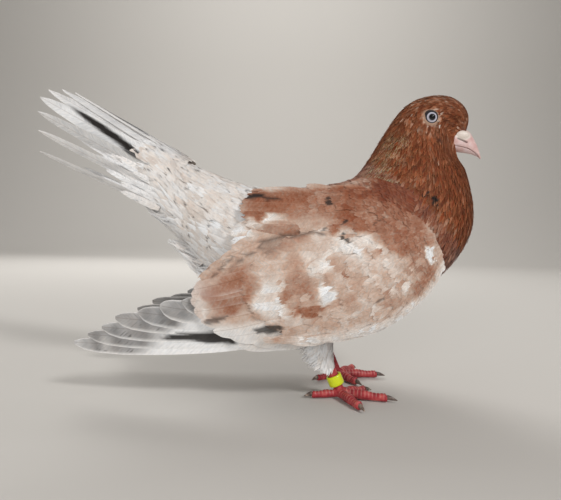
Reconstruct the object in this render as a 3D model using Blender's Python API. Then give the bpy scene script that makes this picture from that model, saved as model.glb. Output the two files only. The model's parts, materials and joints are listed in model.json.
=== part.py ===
"""Oriental roller pigeon, standing at rest, life size.

The bird looks along +X, stands on z = 0 and is the same on both sides of the XZ plane, apart from
how it sets its feet. Its right side is at -Y. Sizes and places are in millimetres and are turned
into metres when a mesh is made.
"""

import math

import bmesh
import bpy
from mathutils import Vector

MM = 0.001
GAP = 0.3
SIDES = {"right": -1, "left": 1}

# Body: each station is one cross section, from the root of the tail to the face. It holds the point
# on the back (x, z), the point on the belly, breast or throat (x, z), and half the width.
BODY = (
    ((-50, 150), (-50, 93), 17),
    ((-24, 140), (-38, 77), 26),
    ((-2, 134), (-16, 60), 34),
    ((19, 133.5), (6, 46), 39),
    ((39, 136), (31, 38), 42),
    ((54, 139), (58, 40), 43.5),
    ((62, 143), (88, 53), 44),
    ((67, 149), (113.2, 69.8), 42),
    ((71, 155), (131.4, 89), 38),
    ((75, 162), (140.6, 106.4), 33),
    ((79.5, 170), (141.8, 122), 28.5),
    ((85, 179), (139.6, 135.2), 24),
    ((90, 186.5), (136.6, 146), 20),
    ((96, 192.5), (132.8, 153.8), 17),
    ((104, 197), (131.2, 157.8), 15.2),
    ((114, 199.3), (130.4, 159.8), 14.2),
    ((124, 198.7), (130.2, 161), 13),
    ((131.5, 194.8), (130.6, 162), 11.2),
    ((135.7, 189.5), (131.4, 162.8), 9.4),
    ((137.2, 184), (132.2, 163.6), 7.8),
    ((136.8, 179), (132.8, 164.6), 6.2),
)
TORSO_ENDS, NECK_ENDS = 9, 12
RING_POINTS = 24
RINGS_PER_STATION = 2

# Head
EYE_X, EYE_Z = 108.4, 180.6
EYE_RADIUS, EYE_OPENING = 6.0, 4.1
LID_THICK = 0.8
# Bill: stations as for the body, from inside the head to the hooked tip.
BILL = (
    ((127.5, 176.6), (126.5, 165), 4.4),
    ((134.3, 177.0), (132.8, 163.2), 4.8),
    ((138.3, 175.6), (137.0, 162.9), 4.5),
    ((141.3, 171.6), (140.3, 161.9), 3.7),
    ((143.9, 166.8), (143.2, 160.6), 2.7),
    ((146.0, 161.8), (145.6, 158.8), 1.5),
    ((147.4, 158.2), (146.7, 157.3), 0.6),
)
# Where the line of the mouth crosses the bill's depth, from below, at its root and at its tip.
MOUTH_LINE = (0.38, 0.08)
CERE_AT, CERE_RADII, CERE_APART = (135.6, 174.0), (4.3, 2.5, 2.9), 2.2
# Nostril: its place from the middle of the cere, how far out, its half length and its half sizes.
NOSTRIL_AHEAD, NOSTRIL_BELOW, NOSTRIL_OUT = 1.4, 2.9, 4.7
NOSTRIL_HALF, NOSTRIL_DEEP, NOSTRIL_HIGH = 2.2, 1.0, 0.45

# Wing: where its outer face is widest. Each row is x, the height of the widest line, half the width
# there, how far up the face would close over the back, and how far down it would close.
WING_FACE = (
    (-120, 34, 40, 60, 90),
    (-80, 38, 44, 66, 90),
    (-40, 46, 48, 74, 90),
    (0, 60, 51.5, 78, 90),
    (40, 72, 53, 72, 80),
    (80, 82, 50, 72, 62),
    (120, 90, 36, 62, 48),
)
WING_THICK = 8.0
ARM_LOW = ((113, 86), (106, 74), (97, 64), (83, 52.5), (66, 45.5), (44, 41), (22, 39.5))
ARM_HIGH = ((112, 94), (103, 110), (90, 121), (72, 129), (52, 131), (32, 127), (16, 110))
PATCH_ALONG, PATCH_ACROSS, PATCH_TOP, PATCH_RIM = 7, 7, -0.9, 2.5
# Tiers of vanes, each laid out in side view from its lowest, outermost vane to its highest. Widths and
# lifts off the wing's face run from the first vane to the last, bow is how far each vane sags, and
# sink is how much deeper its root lies.
WING_TIERS = {
    "primaries": {
        "count": 9,
        "roots": ((22, 44), (14, 56), (4, 63)),
        "tips": ((-113, 31.5), (-104, 41), (-88, 49), (-62, 57), (-40, 62)),
        "half_widths": (4.6, 6.0),
        "lifts": (-7.0, -3.2),
        "bow": 3.5,
        "sink": 0.0,
        "shaft": True,
    },
    "primary_coverts": {
        "count": 3,
        "roots": ((50, 47), (46, 54)),
        "tips": ((-6, 37), (4, 48)),
        "half_widths": (6.0, 7.5),
        "lifts": (-2.9, -2.2),
        "bow": 1.5,
        "sink": 0.0,
        "shaft": False,
    },
    "secondaries": {
        "count": 7,
        "roots": ((40, 52), (26, 66), (24, 86), (34, 108)),
        "tips": ((-9, 39), (-29, 51), (-37, 67), (-31, 81), (-14, 97)),
        "half_widths": (6.6, 7.2),
        "lifts": (-2.6, 0.1),
        "bow": 1.5,
        "sink": 0.0,
        "shaft": False,
    },
    "greater_coverts": {
        "count": 6,
        "roots": ((56, 52), (38, 68), (34, 86), (44, 104)),
        "tips": ((24, 45), (4, 53), (-8, 68), (-4, 84), (8, 99)),
        "half_widths": (7.6, 8.2),
        "lifts": (-0.5, 0.9),
        "bow": 1.0,
        "sink": 2.2,
        "shaft": False,
    },
    "median_coverts": {
        "count": 5,
        "roots": ((74, 57), (60, 72), (56, 90), (60, 110)),
        "tips": ((50, 48), (30, 58), (18, 72), (20, 88), (32, 106)),
        "half_widths": (7.4, 8.0),
        "lifts": (0.0, 1.4),
        "bow": 0.5,
        "sink": 3.0,
        "shaft": False,
    },
    "scapulars": {
        "count": 4,
        "roots": ((44, 105), (50, 115), (48, 125)),
        "tips": ((-4, 105), (-13, 114), (-12, 121), (-8, 127)),
        "half_widths": (9.0, 6.0),
        "lifts": (1.2, 1.4),
        "bow": -1.0,
        "sink": 4.0,
        "shaft": False,
    },
}
SINK_SHARE = 0.5
# A vane's outline: share of its length, share of its half width.
LONG_OUTLINE = ((0.0, 0.75), (0.4, 1.0), (0.78, 0.94), (0.94, 0.62), (1.0, 0.15))
SHORT_OUTLINE = ((0.0, 0.8), (0.6, 1.0), (0.88, 0.75), (1.0, 0.2))
VANE_THICK, VANE_EDGE, VANE_CAMBER = 0.9, 0.55, 0.07

# Tail: the ridge runs from TAIL_ROOT at TAIL_RISE degrees. An arch across it drops to both sides.
TAIL_ROOT, TAIL_RISE = (-50, 151.5), 29.0
TAIL_LENGTHS = (72, 80, 88, 94, 95, 91.5, 87, 88, 96, 100, 101.5, 92, 82, 74)  # right to left
TAIL_ROOT_ARCH, TAIL_TIP_ARCH = (16, 46), (38, 54)
TAIL_FEATHERS, TAIL_SPREAD = len(TAIL_LENGTHS), 78
TAIL_WIDTHS, TAIL_STEP = (6.6, 4.8), 0.45
TAIL_FEATHER_ROOTS = (6, -4)
TAIL_CORE = (
    ((-50.3, 150), (-50.3, 93), 17),
    ((-62, 157.8), (-64, 106.5), 19),
    ((-76, 164.3), (-80, 121), 18),
    ((-92, 171.5), (-97, 141), 12),
    ((-103, 176), (-107, 157), 6),
)
# Upper coverts, over the root of the tail: how far they spread, in degrees, where they start, the
# length of the middle and outer ones, their half width, and the lift of the middle and outer ones.
UPPER_COVERTS, UPPER_SPREAD, UPPER_ROOT = 6, 68, 3
UPPER_LENGTHS, UPPER_HALF_WIDTH, UPPER_LIFTS = (34, 27), 5.5, (1.3, 0.7)
# Locks of covert below the vent and the root of the tail: root (x, z), tip (x, z) and how far out
# each pair grows. LOCK_OUTLINE has shares of a lock's length with its half width there.
VENT_LOCKS = (
    ((-41, 87), (-61, 94), (0,)),
    ((-34, 80.5), (-53.5, 87), (6,)),
    ((-30, 75.5), (-48, 79.5), (0, 11)),
    ((-24, 71), (-42.5, 74.5), (6,)),
)
UNDER_COVERTS = (
    ((-58, 108), (-75, 115.5), (0, 8)),
    ((-74, 123), (-92, 131.5), (5,)),
)
LOCK_OUTLINE = ((0, 5.4), (0.5, 5.0), (0.82, 3.2), (1, 0.8))
LOCK_SPREAD, LOCK_RISE, LOCK_SAG, LOCK_FLAT = 1.15, 0.3, 6.0, 0.36

# Legs and feet
HEEL, BALL, HEEL_RADIUS = (47.6, 17.8), (53.5, 4.5), 4.3
LEG = ((36, 54, 12, 10), (38.5, 40, 11, 9), (40, 33, 10, 8.2), (42.5, 26, 8, 7), (45, 21, 6, 5.4))
# Locks of down round the lower leg: bearing from straight back, in degrees, and height over the heel.
LEG_LOCKS = ((0, 9), (58, 8), (-58, 8), (28, 15), (-28, 15), (115, 7), (-115, 7))
LEG_LOCK_REACH, LEG_LOCK_DROP, LEG_LOCK_SAG = 6.5, 9.0, 1.5
LEG_LOCK_OUTLINE = ((0, 3.0), (0.55, 2.4), (1, 0.5))
SHANK_RADIUS = 3.2
TOE_RADIUS, HIND_SLIM = 3.0, 0.84
# Toes: scutes along the top, the step at each, the taper, the swelling of the pads and how far the
# root of a toe arches off the floor.
SCUTES, SCUTE_STEP, TOE_SIDES = 5, 0.35, 8
TOE_TAPER, PAD_SWELL, TOE_ARCH, TOE_SIT = 0.26, 0.07, 0.6, 0.86
PAD_RADII, PAD_HIGH = (4.2, 4.2, 3.1), 3.3
CLAW_SECTIONS, CLAW_DROP, CLAW_ROOT_HIGH = ((0, 1.7), (0.35, 1.45), (0.7, 0.85), (1, 0.3)), 1.4, 2.6
# Each toe: name, length to the root of its claw, claw length.
TOES = (("middle", 30, 6.5), ("inner", 21, 5.5), ("outer", 25, 5.5), ("hind", 18, 5))
# Each foot: how far it stands ahead of the leg's own place, how far out, and its toes' headings in
# degrees outward from straight ahead.
FEET = {
    "right": ((0.0, 22.5), (12, -30, 68, 172)),
    "left": ((3.5, 22.0), (6, -56, 54, 214)),
}
RING_HEIGHT, RING_RADIUS = 6.4, 4.9
RING_ALONG = 0.5


def clear_scene():
    for obj in list(bpy.data.objects):
        bpy.data.objects.remove(obj, do_unlink=True)


def material(name, colour, roughness=0.7, metallic=0.0):
    made = bpy.data.materials.new(name)
    made.use_nodes = True
    shader = made.node_tree.nodes["Principled BSDF"]
    shader.inputs["Base Color"].default_value = (*colour, 1.0)
    shader.inputs["Roughness"].default_value = roughness
    shader.inputs["Metallic"].default_value = metallic
    return made


def add_object(name, points, faces, finish=None):
    """A mesh object from points in millimetres, with its faces turned to point out."""
    mesh = bpy.data.meshes.new(name)
    mesh.from_pydata([Vector(p) * MM for p in points], [], faces)
    form = bmesh.new()
    form.from_mesh(mesh)
    bmesh.ops.recalc_face_normals(form, faces=form.faces)
    if form.calc_volume(signed=True) < 0:
        bmesh.ops.reverse_faces(form, faces=form.faces)
    form.to_mesh(mesh)
    form.free()
    obj = bpy.data.objects.new(name, mesh)
    bpy.context.scene.collection.objects.link(obj)
    if finish:
        mesh.materials.append(finish)
    return obj


def loft(name, rings, finish=None):
    """Skins rings of equal size with triangles, the same way all round, and caps both ends."""
    count = len(rings[0])
    points = [p for ring in rings for p in ring]
    faces = []
    for i in range(len(rings) - 1):
        for j in range(count):
            a, b = i * count + j, i * count + (j + 1) % count
            faces += [(a, b, b + count), (a, b + count, a + count)]
    faces.append(tuple(range(count)))
    faces.append(tuple(range(len(points) - count, len(points))))
    return add_object(name, points, faces, finish)


def replace_mesh(obj, mesh):
    old = obj.data
    for slot in old.materials:
        if slot and slot.name not in mesh.materials:
            mesh.materials.append(slot)
    obj.data = mesh
    bpy.data.meshes.remove(old)


def keep_largest(obj):
    """Keeps the closed surface that holds most volume, so sealed hollows and scraps go."""
    form = bmesh.new()
    form.from_mesh(obj.data)
    left, shells = set(form.faces), []
    while left:
        front = [left.pop()]
        shell = list(front)
        while front:
            for edge in front.pop().edges:
                for face in edge.link_faces if len(edge.link_faces) == 2 else ():
                    if face in left:
                        left.remove(face)
                        front.append(face)
                        shell.append(face)
        shells.append(shell)

    def volume(shell):
        total = 0.0
        for face in shell:
            first = face.verts[0].co
            for a, b in zip(face.verts[1:], face.verts[2:]):
                total += first.dot(a.co.cross(b.co))
        return total

    shells.sort(key=volume)
    for shell in shells[:-1]:
        bmesh.ops.delete(form, geom=shell, context="FACES")
    form.to_mesh(obj.data)
    form.free()


def combine(obj, others, operation="UNION"):
    """One Boolean of obj with closed meshes, applied. The others are removed."""
    pieces = bpy.data.collections.new(obj.name + "_pieces")
    for other in others:
        pieces.objects.link(other)
    boolean = obj.modifiers.new("Combine", "BOOLEAN")
    boolean.operation = operation
    boolean.solver = "EXACT"
    boolean.operand_type = "COLLECTION"
    boolean.collection = pieces
    graph = bpy.context.evaluated_depsgraph_get()
    mesh = bpy.data.meshes.new_from_object(obj.evaluated_get(graph))
    obj.modifiers.remove(boolean)
    replace_mesh(obj, mesh)
    for other in others:
        bpy.data.objects.remove(other, do_unlink=True)
    bpy.data.collections.remove(pieces)
    keep_largest(obj)
    return obj


def spline(rows, t):
    """Catmull-Rom through rows of numbers; t runs from 0 to the last row's index."""
    i = min(int(t), len(rows) - 2)
    u = t - i
    last = len(rows) - 1
    a, b, c, d = (rows[min(max(k, 0), last)] for k in (i - 1, i, i + 1, i + 2))
    return tuple(
        0.5 * (2 * q + (r - p) * u + (2 * p - 5 * q + 4 * r - s) * u**2 + (3 * q - p - 3 * r + s) * u**3)
        for p, q, r, s in zip(a, b, c, d)
    )


def mix(a, b, t):
    return tuple(p + (q - p) * t for p, q in zip(a, b))


def between(ends, t):
    return ends[0] + (ends[1] - ends[0]) * t


def flat_rows(stations):
    return [(*back, *front, half) for back, front, half in stations]


def section_ring(row, grow=0.0, shift=0.0, count=RING_POINTS):
    """One elliptical section between a back point and a front point, moved along its normal."""
    back_x, back_z, front_x, front_z, half = row
    up_x, up_z = (back_x - front_x) / 2, (back_z - front_z) / 2
    reach = math.hypot(up_x, up_z)
    up_x, up_z = up_x / reach, up_z / reach
    mid_x = (back_x + front_x) / 2 + up_z * shift
    mid_z = (back_z + front_z) / 2 - up_x * shift
    ring = []
    for k in range(count):
        turn = 2 * math.pi * k / count
        high = (reach + grow) * math.cos(turn)
        ring.append((mid_x + up_x * high, (half + grow) * math.sin(turn), mid_z + up_z * high))
    return ring


def body_rings(first, last, grow=0.0, gap_first=0.0, gap_last=0.0):
    rows = flat_rows(BODY)
    steps = (last - first) * RINGS_PER_STATION
    rings = []
    for k in range(steps + 1):
        shift = gap_first if k == 0 else -gap_last if k == steps else 0.0
        rings.append(section_ring(spline(rows, first + k / RINGS_PER_STATION), grow, shift))
    return rings


def body_side(x, z):
    """Half the body's width at (x, z), found from the section that passes through that point."""
    rows = flat_rows(BODY)

    def ahead(t):
        back_x, back_z, front_x, front_z, _ = spline(rows, t)
        return (x - front_x) * (back_z - front_z) - (z - front_z) * (back_x - front_x)

    low, high = 0.0, len(BODY) - 1.0
    for _ in range(40):
        middle = (low + high) / 2
        low, high = (middle, high) if ahead(middle) > 0 else (low, middle)
    back_x, back_z, front_x, front_z, half = spline(rows, low)
    reach = math.hypot(back_x - front_x, back_z - front_z) / 2
    off = math.hypot(x - (back_x + front_x) / 2, z - (back_z + front_z) / 2) / reach
    return half * math.sqrt(max(0.0, 1 - off**2))


def ball(name, centre, radii, segments=16, rings=10, finish=None):
    form = bmesh.new()
    bmesh.ops.create_uvsphere(form, u_segments=segments, v_segments=rings, radius=1.0)
    points = [[c + r * v for c, r, v in zip(centre, radii, vert.co)] for vert in form.verts]
    faces = [tuple(vert.index for vert in face.verts) for face in form.faces]
    form.free()
    return add_object(name, points, faces, finish)


def tube_ring(centre, along, across, wide, high, count, turn=0.0):
    """A ring of points round centre, square to along. across is its sideways direction."""
    along, across = Vector(along).normalized(), Vector(across).normalized()
    up = across.cross(along).normalized()
    ring = []
    for k in range(count):
        angle = 2 * math.pi * k / count + turn
        ring.append(Vector(centre) + across * (wide * math.cos(angle)) + up * (high * math.sin(angle)))
    return ring


# Torso, neck and head


def eye_centre(side):
    depth = math.sqrt((EYE_RADIUS + GAP) ** 2 - EYE_OPENING**2) - 0.2
    return (EYE_X, side * (body_side(EYE_X, EYE_Z) - depth), EYE_Z)


def lid_ring(side):
    """The rim of lid round one eye, a flattened ring that stands a little out of the head."""
    x, y, z = eye_centre(side)
    face_y = side * (body_side(EYE_X, EYE_Z) - 0.1)
    segments, sides = 12, 5
    radius = EYE_OPENING + LID_THICK * 0.6
    rings = []
    for k in range(segments):
        turn = 2 * math.pi * k / segments
        out = Vector((math.cos(turn), 0, math.sin(turn)))
        rings.append(
            [
                Vector((x, face_y, z))
                + out * (radius + LID_THICK * math.cos(2 * math.pi * j / sides))
                + Vector((0, side, 0)) * LID_THICK * math.sin(2 * math.pi * j / sides)
                for j in range(sides)
            ]
        )
    points = [p for ring in rings for p in ring]
    faces = []
    for k in range(segments):
        for j in range(sides):
            a, b = k * sides + j, k * sides + (j + 1) % sides
            c, d = ((k + 1) % segments) * sides + (j + 1) % sides, ((k + 1) % segments) * sides + j
            faces.append((a, b, c, d))
    return add_object("lid", points, faces)


def bill_rings(part="whole", grow=0.0):
    """Rings of the bill, whole or cut along the line of the mouth into its upper or lower half."""
    rows = flat_rows(BILL)
    steps = 2 * (len(BILL) - 1) - (2 if part == "lower" else 0)
    rings = []
    for k in range(steps + 1):
        row = spline(rows, k / 2)
        ring = section_ring(row, grow, 0.0, 12)
        if part != "whole":
            level = between(MOUTH_LINE, k / steps)
            ring = [cut_at_mouth(point, row, level, part) for point in ring]
        rings.append(ring)
    return rings


def cut_at_mouth(point, row, level, part):
    """Moves a point of a bill section that lies past the line of the mouth onto that line."""
    back, front = Vector((row[0], 0, row[1])), Vector((row[2], 0, row[3]))
    up = back - front
    deep = up.length
    up.normalize()
    height = (Vector(point) - front).dot(up)
    line = level * deep + (GAP if part == "upper" else 0.0)
    past = line - height if part == "upper" else height - line
    if past <= 0:
        return point
    widest = row[4] * math.sqrt(1 - (2 * level - 1) ** 2)
    moved = Vector(point) + up * past * (1 if part == "upper" else -1)
    moved.y = min(max(moved.y, -widest), widest)
    return moved


def cere_pair(grow=0.0):
    """The two swellings of the cere, over the root of the bill."""
    radii = [radius + grow for radius in CERE_RADII]
    return [ball("cere", (CERE_AT[0], side * CERE_APART, CERE_AT[1]), radii, 10, 6) for side in (-1, 1)]


def make_bill(finish):
    upper = loft("bill_upper", bill_rings("upper"), finish)
    combine(upper, cere_pair())
    nostrils = []
    for side in (-1, 1):
        place = Vector((CERE_AT[0] + NOSTRIL_AHEAD, side * NOSTRIL_OUT, CERE_AT[1] - NOSTRIL_BELOW))
        along = Vector((1, 0, -0.35)).normalized()
        ends = [place + along * NOSTRIL_HALF * end for end in (-1, 1)]
        rings = [tube_ring(end, along, (0, 1, 0), NOSTRIL_DEEP, NOSTRIL_HIGH, 6) for end in ends]
        nostrils.append(loft("nostril", rings))
    combine(upper, nostrils, "DIFFERENCE")
    loft("bill_lower", bill_rings("lower"), finish)


def make_body(finishes):
    last = len(BODY) - 1
    half_gap = GAP / 2
    torso = loft("torso", body_rings(0, TORSO_ENDS, 0, 0, half_gap), finishes["breast"])
    combine(torso, down_locks(VENT_LOCKS))
    neck = loft("neck", body_rings(TORSO_ENDS, NECK_ENDS, 0, half_gap, half_gap), finishes["neck"])
    head = loft("head", body_rings(NECK_ENDS, last, 0, half_gap, 0), finishes["head"])
    combine(head, [lid_ring(side) for side in (-1, 1)])
    cutters = [
        ball("eye_cut", eye_centre(side), [EYE_RADIUS + GAP] * 3, 12, 8) for side in (-1, 1)
    ]
    cutters.append(loft("bill_cut", bill_rings("whole", GAP)))
    cutters += cere_pair(GAP)
    combine(head, cutters, "DIFFERENCE")
    for name, side in SIDES.items():
        ball("eye_" + name, eye_centre(side), [EYE_RADIUS] * 3, 12, 8, finishes["eye"])
    make_bill(finishes["bill"])
    return torso, neck, head


def torso_cutter():
    """The torso grown by the gap, which trims what lies on it."""
    return loft("torso_cut", body_rings(0, TORSO_ENDS, GAP, -GAP, -GAP))


# Wings


def wing_face(x, z):
    """Distance of the folded wing's outer face from the mid-plane at (x, z)."""
    step = WING_FACE[1][0] - WING_FACE[0][0]
    t = min(max((x - WING_FACE[0][0]) / step, 0.0), len(WING_FACE) - 1.0)
    _, widest, half, above, below = spline(WING_FACE, t)
    off = (z - widest) / (above if z > widest else below)
    return half * math.sqrt(max(0.02, 1 - off**2))


def wing_place(x, z, lift):
    """The point lift away from the wing's outer face at (x, z), square to the face."""
    step = 0.5
    slope_x = (wing_face(x + step, z) - wing_face(x - step, z)) / (2 * step)
    slope_z = (wing_face(x, z + step) - wing_face(x, z - step)) / (2 * step)
    out = Vector((-slope_x, 1, -slope_z)).normalized()
    return Vector((x, wing_face(x, z), z)) + out * lift


def vane(name, place, half_width, outline, columns=(-1, 0, 1)):
    """A thin feather vane, with a raised shaft where it has a middle column. place gives the point at
    a share of the length, a distance across and a lift, so the vane follows whatever it lies on."""
    rings = []
    for share, wide in outline:
        across = half_width * wide
        ring = []
        for sign in (1, -1):
            for side in columns[::sign]:
                raised = (VANE_EDGE if side and len(columns) == 3 else VANE_THICK) / 2 * sign
                camber = VANE_CAMBER * half_width * wide if side == 0 else 0.0
                ring.append(place(share, side * across, raised + camber))
        rings.append(ring)
    return loft(name, rings)


def wing_vanes(name, tier):
    vanes = []
    for k in range(tier["count"]):
        rank = k / (tier["count"] - 1)
        root = spline(tier["roots"], rank * (len(tier["roots"]) - 1))
        tip = spline(tier["tips"], rank * (len(tier["tips"]) - 1))
        length = math.hypot(tip[0] - root[0], tip[1] - root[1])
        ahead = ((tip[0] - root[0]) / length, (tip[1] - root[1]) / length)
        half_width = between(tier["half_widths"], rank)
        base_lift = between(tier["lifts"], rank)

        def place(share, across, lift):
            x, z = mix(root, tip, share)
            droop = tier["bow"] * 4 * share * (1 - share)
            x, z = x - ahead[1] * across, z + ahead[0] * across - droop
            sunk = tier["sink"] * max(0.0, 1 - share / SINK_SHARE) ** 2
            return wing_place(x, z, base_lift + lift - sunk)

        if tier["shaft"]:
            vanes.append(vane(name, place, half_width, LONG_OUTLINE))
        else:
            vanes.append(vane(name, place, half_width, SHORT_OUTLINE, (-1, 1)))
    return vanes


def wing_patch(name):
    """The wing's own slab between its low and its high edge, its rim rounded off."""
    wide = PATCH_ACROSS + 1
    outside, inside = [], []
    for i in range(PATCH_ALONG + 1):
        u = i / PATCH_ALONG
        start = spline(ARM_LOW, u * (len(ARM_LOW) - 1))
        end = spline(ARM_HIGH, u * (len(ARM_HIGH) - 1))
        for j in range(wide):
            v = 0.5 - 0.5 * math.cos(math.pi * j / PATCH_ACROSS)
            x, z = mix(start, end, v)
            rim = PATCH_RIM if j in (0, PATCH_ACROSS) or i in (0, PATCH_ALONG) else 0.0
            outside.append(wing_place(x, z, PATCH_TOP - rim))
            inside.append(wing_place(x, z, rim / 2 - WING_THICK))
    count = len(outside)
    faces = []
    for i in range(PATCH_ALONG):
        for j in range(PATCH_ACROSS):
            a, b, c, d = i * wide + j, i * wide + j + 1, (i + 1) * wide + j + 1, (i + 1) * wide + j
            faces += [(a, b, c), (a, c, d)]
            faces += [(a + count, c + count, b + count), (a + count, d + count, c + count)]
    border = list(range(wide))
    border += [i * wide + wide - 1 for i in range(1, PATCH_ALONG + 1)]
    border += [PATCH_ALONG * wide + j for j in range(wide - 2, -1, -1)]
    border += [i * wide for i in range(PATCH_ALONG - 1, 0, -1)]
    for a, b in zip(border, border[1:] + border[:1]):
        faces += [(a, a + count, b + count), (a, b + count, b)]
    return add_object(name, outside + inside, faces)


def make_wing(name, side, finish):
    wing = wing_patch("wing_" + name)
    wing.data.materials.append(finish)
    combine(wing, [piece for tier in WING_TIERS for piece in wing_vanes(tier, WING_TIERS[tier])])
    combine(wing, [torso_cutter()], "DIFFERENCE")
    for vert in wing.data.vertices:
        vert.co.y *= side
    if side < 0:
        wing.data.flip_normals()
    return wing


# Tail


def tail_point(along, turn, share, lift=0.0):
    """A point of the tail's arch: turn goes across it, share from root to tip of the arch's growth."""
    rise = math.radians(TAIL_RISE)
    wide, drop = mix(TAIL_ROOT_ARCH, TAIL_TIP_ARCH, share)
    y = (wide + lift) * math.sin(turn)
    down = (drop + lift) * (1 - math.cos(turn)) - lift
    x = TAIL_ROOT[0] - along * math.cos(rise) - down * math.sin(rise)
    z = TAIL_ROOT[1] + along * math.sin(rise) - down * math.cos(rise)
    return (x, y, z)


def arch_place(along, turn, share, across, lift):
    """A point of the arch moved across it along its tangent and lifted square to it."""
    middle = Vector(tail_point(along, turn, share))
    step = 0.01
    after = Vector(tail_point(along, turn + step, share))
    tangent = (after - Vector(tail_point(along, turn - step, share))).normalized()
    rise = math.radians(TAIL_RISE)
    backward = Vector((-math.cos(rise), 0, math.sin(rise)))
    return middle + tangent * across + tangent.cross(backward).normalized() * lift


def tail_vanes():
    """The tail feathers, fanned across the arch: the middle pair on top, each outer one below."""
    vanes = []
    for k in range(TAIL_FEATHERS):
        rank = 2 * k / (TAIL_FEATHERS - 1) - 1
        turn = math.radians(TAIL_SPREAD) * rank
        half_width = between(TAIL_WIDTHS, abs(rank))
        root = between(TAIL_FEATHER_ROOTS, rank**2)
        below = -TAIL_STEP * abs(k - (TAIL_FEATHERS - 1) / 2)

        def place(share, across, lift):
            along = between((root, TAIL_LENGTHS[k]), share)
            return arch_place(along, turn, share, across, below + lift)

        vanes.append(vane("tail_feather", place, half_width, LONG_OUTLINE))
    return vanes


def upper_coverts():
    vanes = []
    for k in range(UPPER_COVERTS):
        rank = 2 * k / (UPPER_COVERTS - 1) - 1
        turn = math.radians(UPPER_SPREAD) * rank
        length = between(UPPER_LENGTHS, abs(rank))
        base_lift = between(UPPER_LIFTS, abs(rank))

        def place(share, across, lift):
            growth = share * length / max(TAIL_LENGTHS)
            return arch_place(UPPER_ROOT + length * share, turn, growth, across, base_lift + lift)

        vanes.append(vane("upper_covert", place, UPPER_HALF_WIDTH, SHORT_OUTLINE, (-1, 1)))
    return vanes


def down_locks(rows):
    """Flat, tapered locks of loose covert under the bird's rear, in rows across it."""
    locks = []
    for root, tip, places in rows:
        for y in sorted({y * sign for y in places for sign in (1, -1)}):
            start = Vector((root[0], y, root[1] + abs(y) * LOCK_RISE))
            end = Vector((tip[0], y * LOCK_SPREAD, tip[1] + abs(y) * LOCK_RISE))
            rings = []
            for share, half_width in LOCK_OUTLINE:
                middle = start + (end - start) * share
                middle.z -= LOCK_SAG * share * (1 - share)
                thick = half_width * LOCK_FLAT
                rings.append(tube_ring(middle, end - start, (0, 1, 0), half_width, thick, 6))
            locks.append(loft("lock", rings))
    return locks


def make_tail(finish):
    core = loft("tail", [section_ring(row, 0, 0, 20) for row in flat_rows(TAIL_CORE)], finish)
    return combine(core, tail_vanes() + upper_coverts() + down_locks(UNDER_COVERTS))


# Legs, feet, claws and ring


def leg_place(foot, side):
    """The heel and the ball of one foot."""
    (ahead, out), _ = FEET[foot]
    heel = Vector((HEEL[0] + ahead, side * out, HEEL[1]))
    base = Vector((BALL[0] + ahead, side * out, BALL[1]))
    return heel, base


def make_leg(name, side, finish):
    heel, base = leg_place(name, side)
    lean = heel.x - HEEL[0]
    rings = []
    for x, z, long, wide in LEG:
        rings.append(tube_ring((x + lean, heel.y, z), (0, 0, -1), (0, 1, 0), wide, long, 14))
    rings.append(tube_ring(heel, base - heel, (0, 1, 0), HEEL_RADIUS, HEEL_RADIUS, 14))
    leg = loft("leg_" + name, rings, finish)
    combine(leg, [leg_lock(heel, turn, high) for turn, high in LEG_LOCKS])
    return combine(leg, [torso_cutter()], "DIFFERENCE")


def leg_lock(heel, turn, high):
    """A flat tapered lock of down on the leg. turn is its bearing from straight back."""
    turn = math.radians(turn)
    out = Vector((-math.cos(turn), math.sin(turn), 0))
    across = Vector((-out.y, out.x, 0))
    root = heel + Vector((-high / 4, 0, high)) + out * high / 4
    reach = out * LEG_LOCK_REACH - Vector((0, 0, LEG_LOCK_DROP))
    rings = []
    for share, half_width in LEG_LOCK_OUTLINE:
        middle = root + reach * share - Vector((0, 0, LEG_LOCK_SAG * share**2))
        rings.append(tube_ring(middle, reach, across, half_width, (1 + half_width / 3) / 3, 6))
    return loft("lock", rings)


def toe_rings(base, ahead, length, slim):
    """Rings of one toe: pads swell below onto the floor, and scutes step along its top."""
    across = Vector((-ahead.y, ahead.x, 0))
    rings = []
    for k in range(SCUTES):
        for part in (0.06, 0.94):
            t = (k + part) / SCUTES
            middle = base + ahead * (length * t)
            swell = 1 + PAD_SWELL * math.cos(t * 4 * math.pi)
            thick = TOE_RADIUS * slim * (1 + PAD_SWELL - TOE_TAPER * t) * swell
            middle.z = TOE_ARCH * (1 - t) ** 2 + thick * TOE_SIT
            rise = SCUTE_STEP if part > 0.5 else 0.0
            ring = []
            for j in range(TOE_SIDES):
                angle = 2 * math.pi * (j + 0.5) / TOE_SIDES
                point = middle + across * (thick * math.cos(angle))
                point.z += thick * math.sin(angle)
                point.z += rise if math.sin(angle) > 0.5 else 0.0
                point.z = max(point.z, 0.0)
                ring.append(point)
            rings.append(ring)
    return rings


def make_claw(name, root, ahead, length, finish):
    across = Vector((-ahead.y, ahead.x, 0))
    rings = []
    for t, radius in CLAW_SECTIONS:
        middle = root + ahead * (length * t)
        middle.z = root.z - CLAW_DROP * t**1.6
        rings.append(tube_ring(middle, ahead, across, radius * 0.85, radius, 6))
    lowest = min(p.z for ring in rings for p in ring)
    for ring in rings:
        for p in ring:
            p.z += max(0.0, 0.05 - lowest)
    loft(name, rings, finish)


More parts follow.
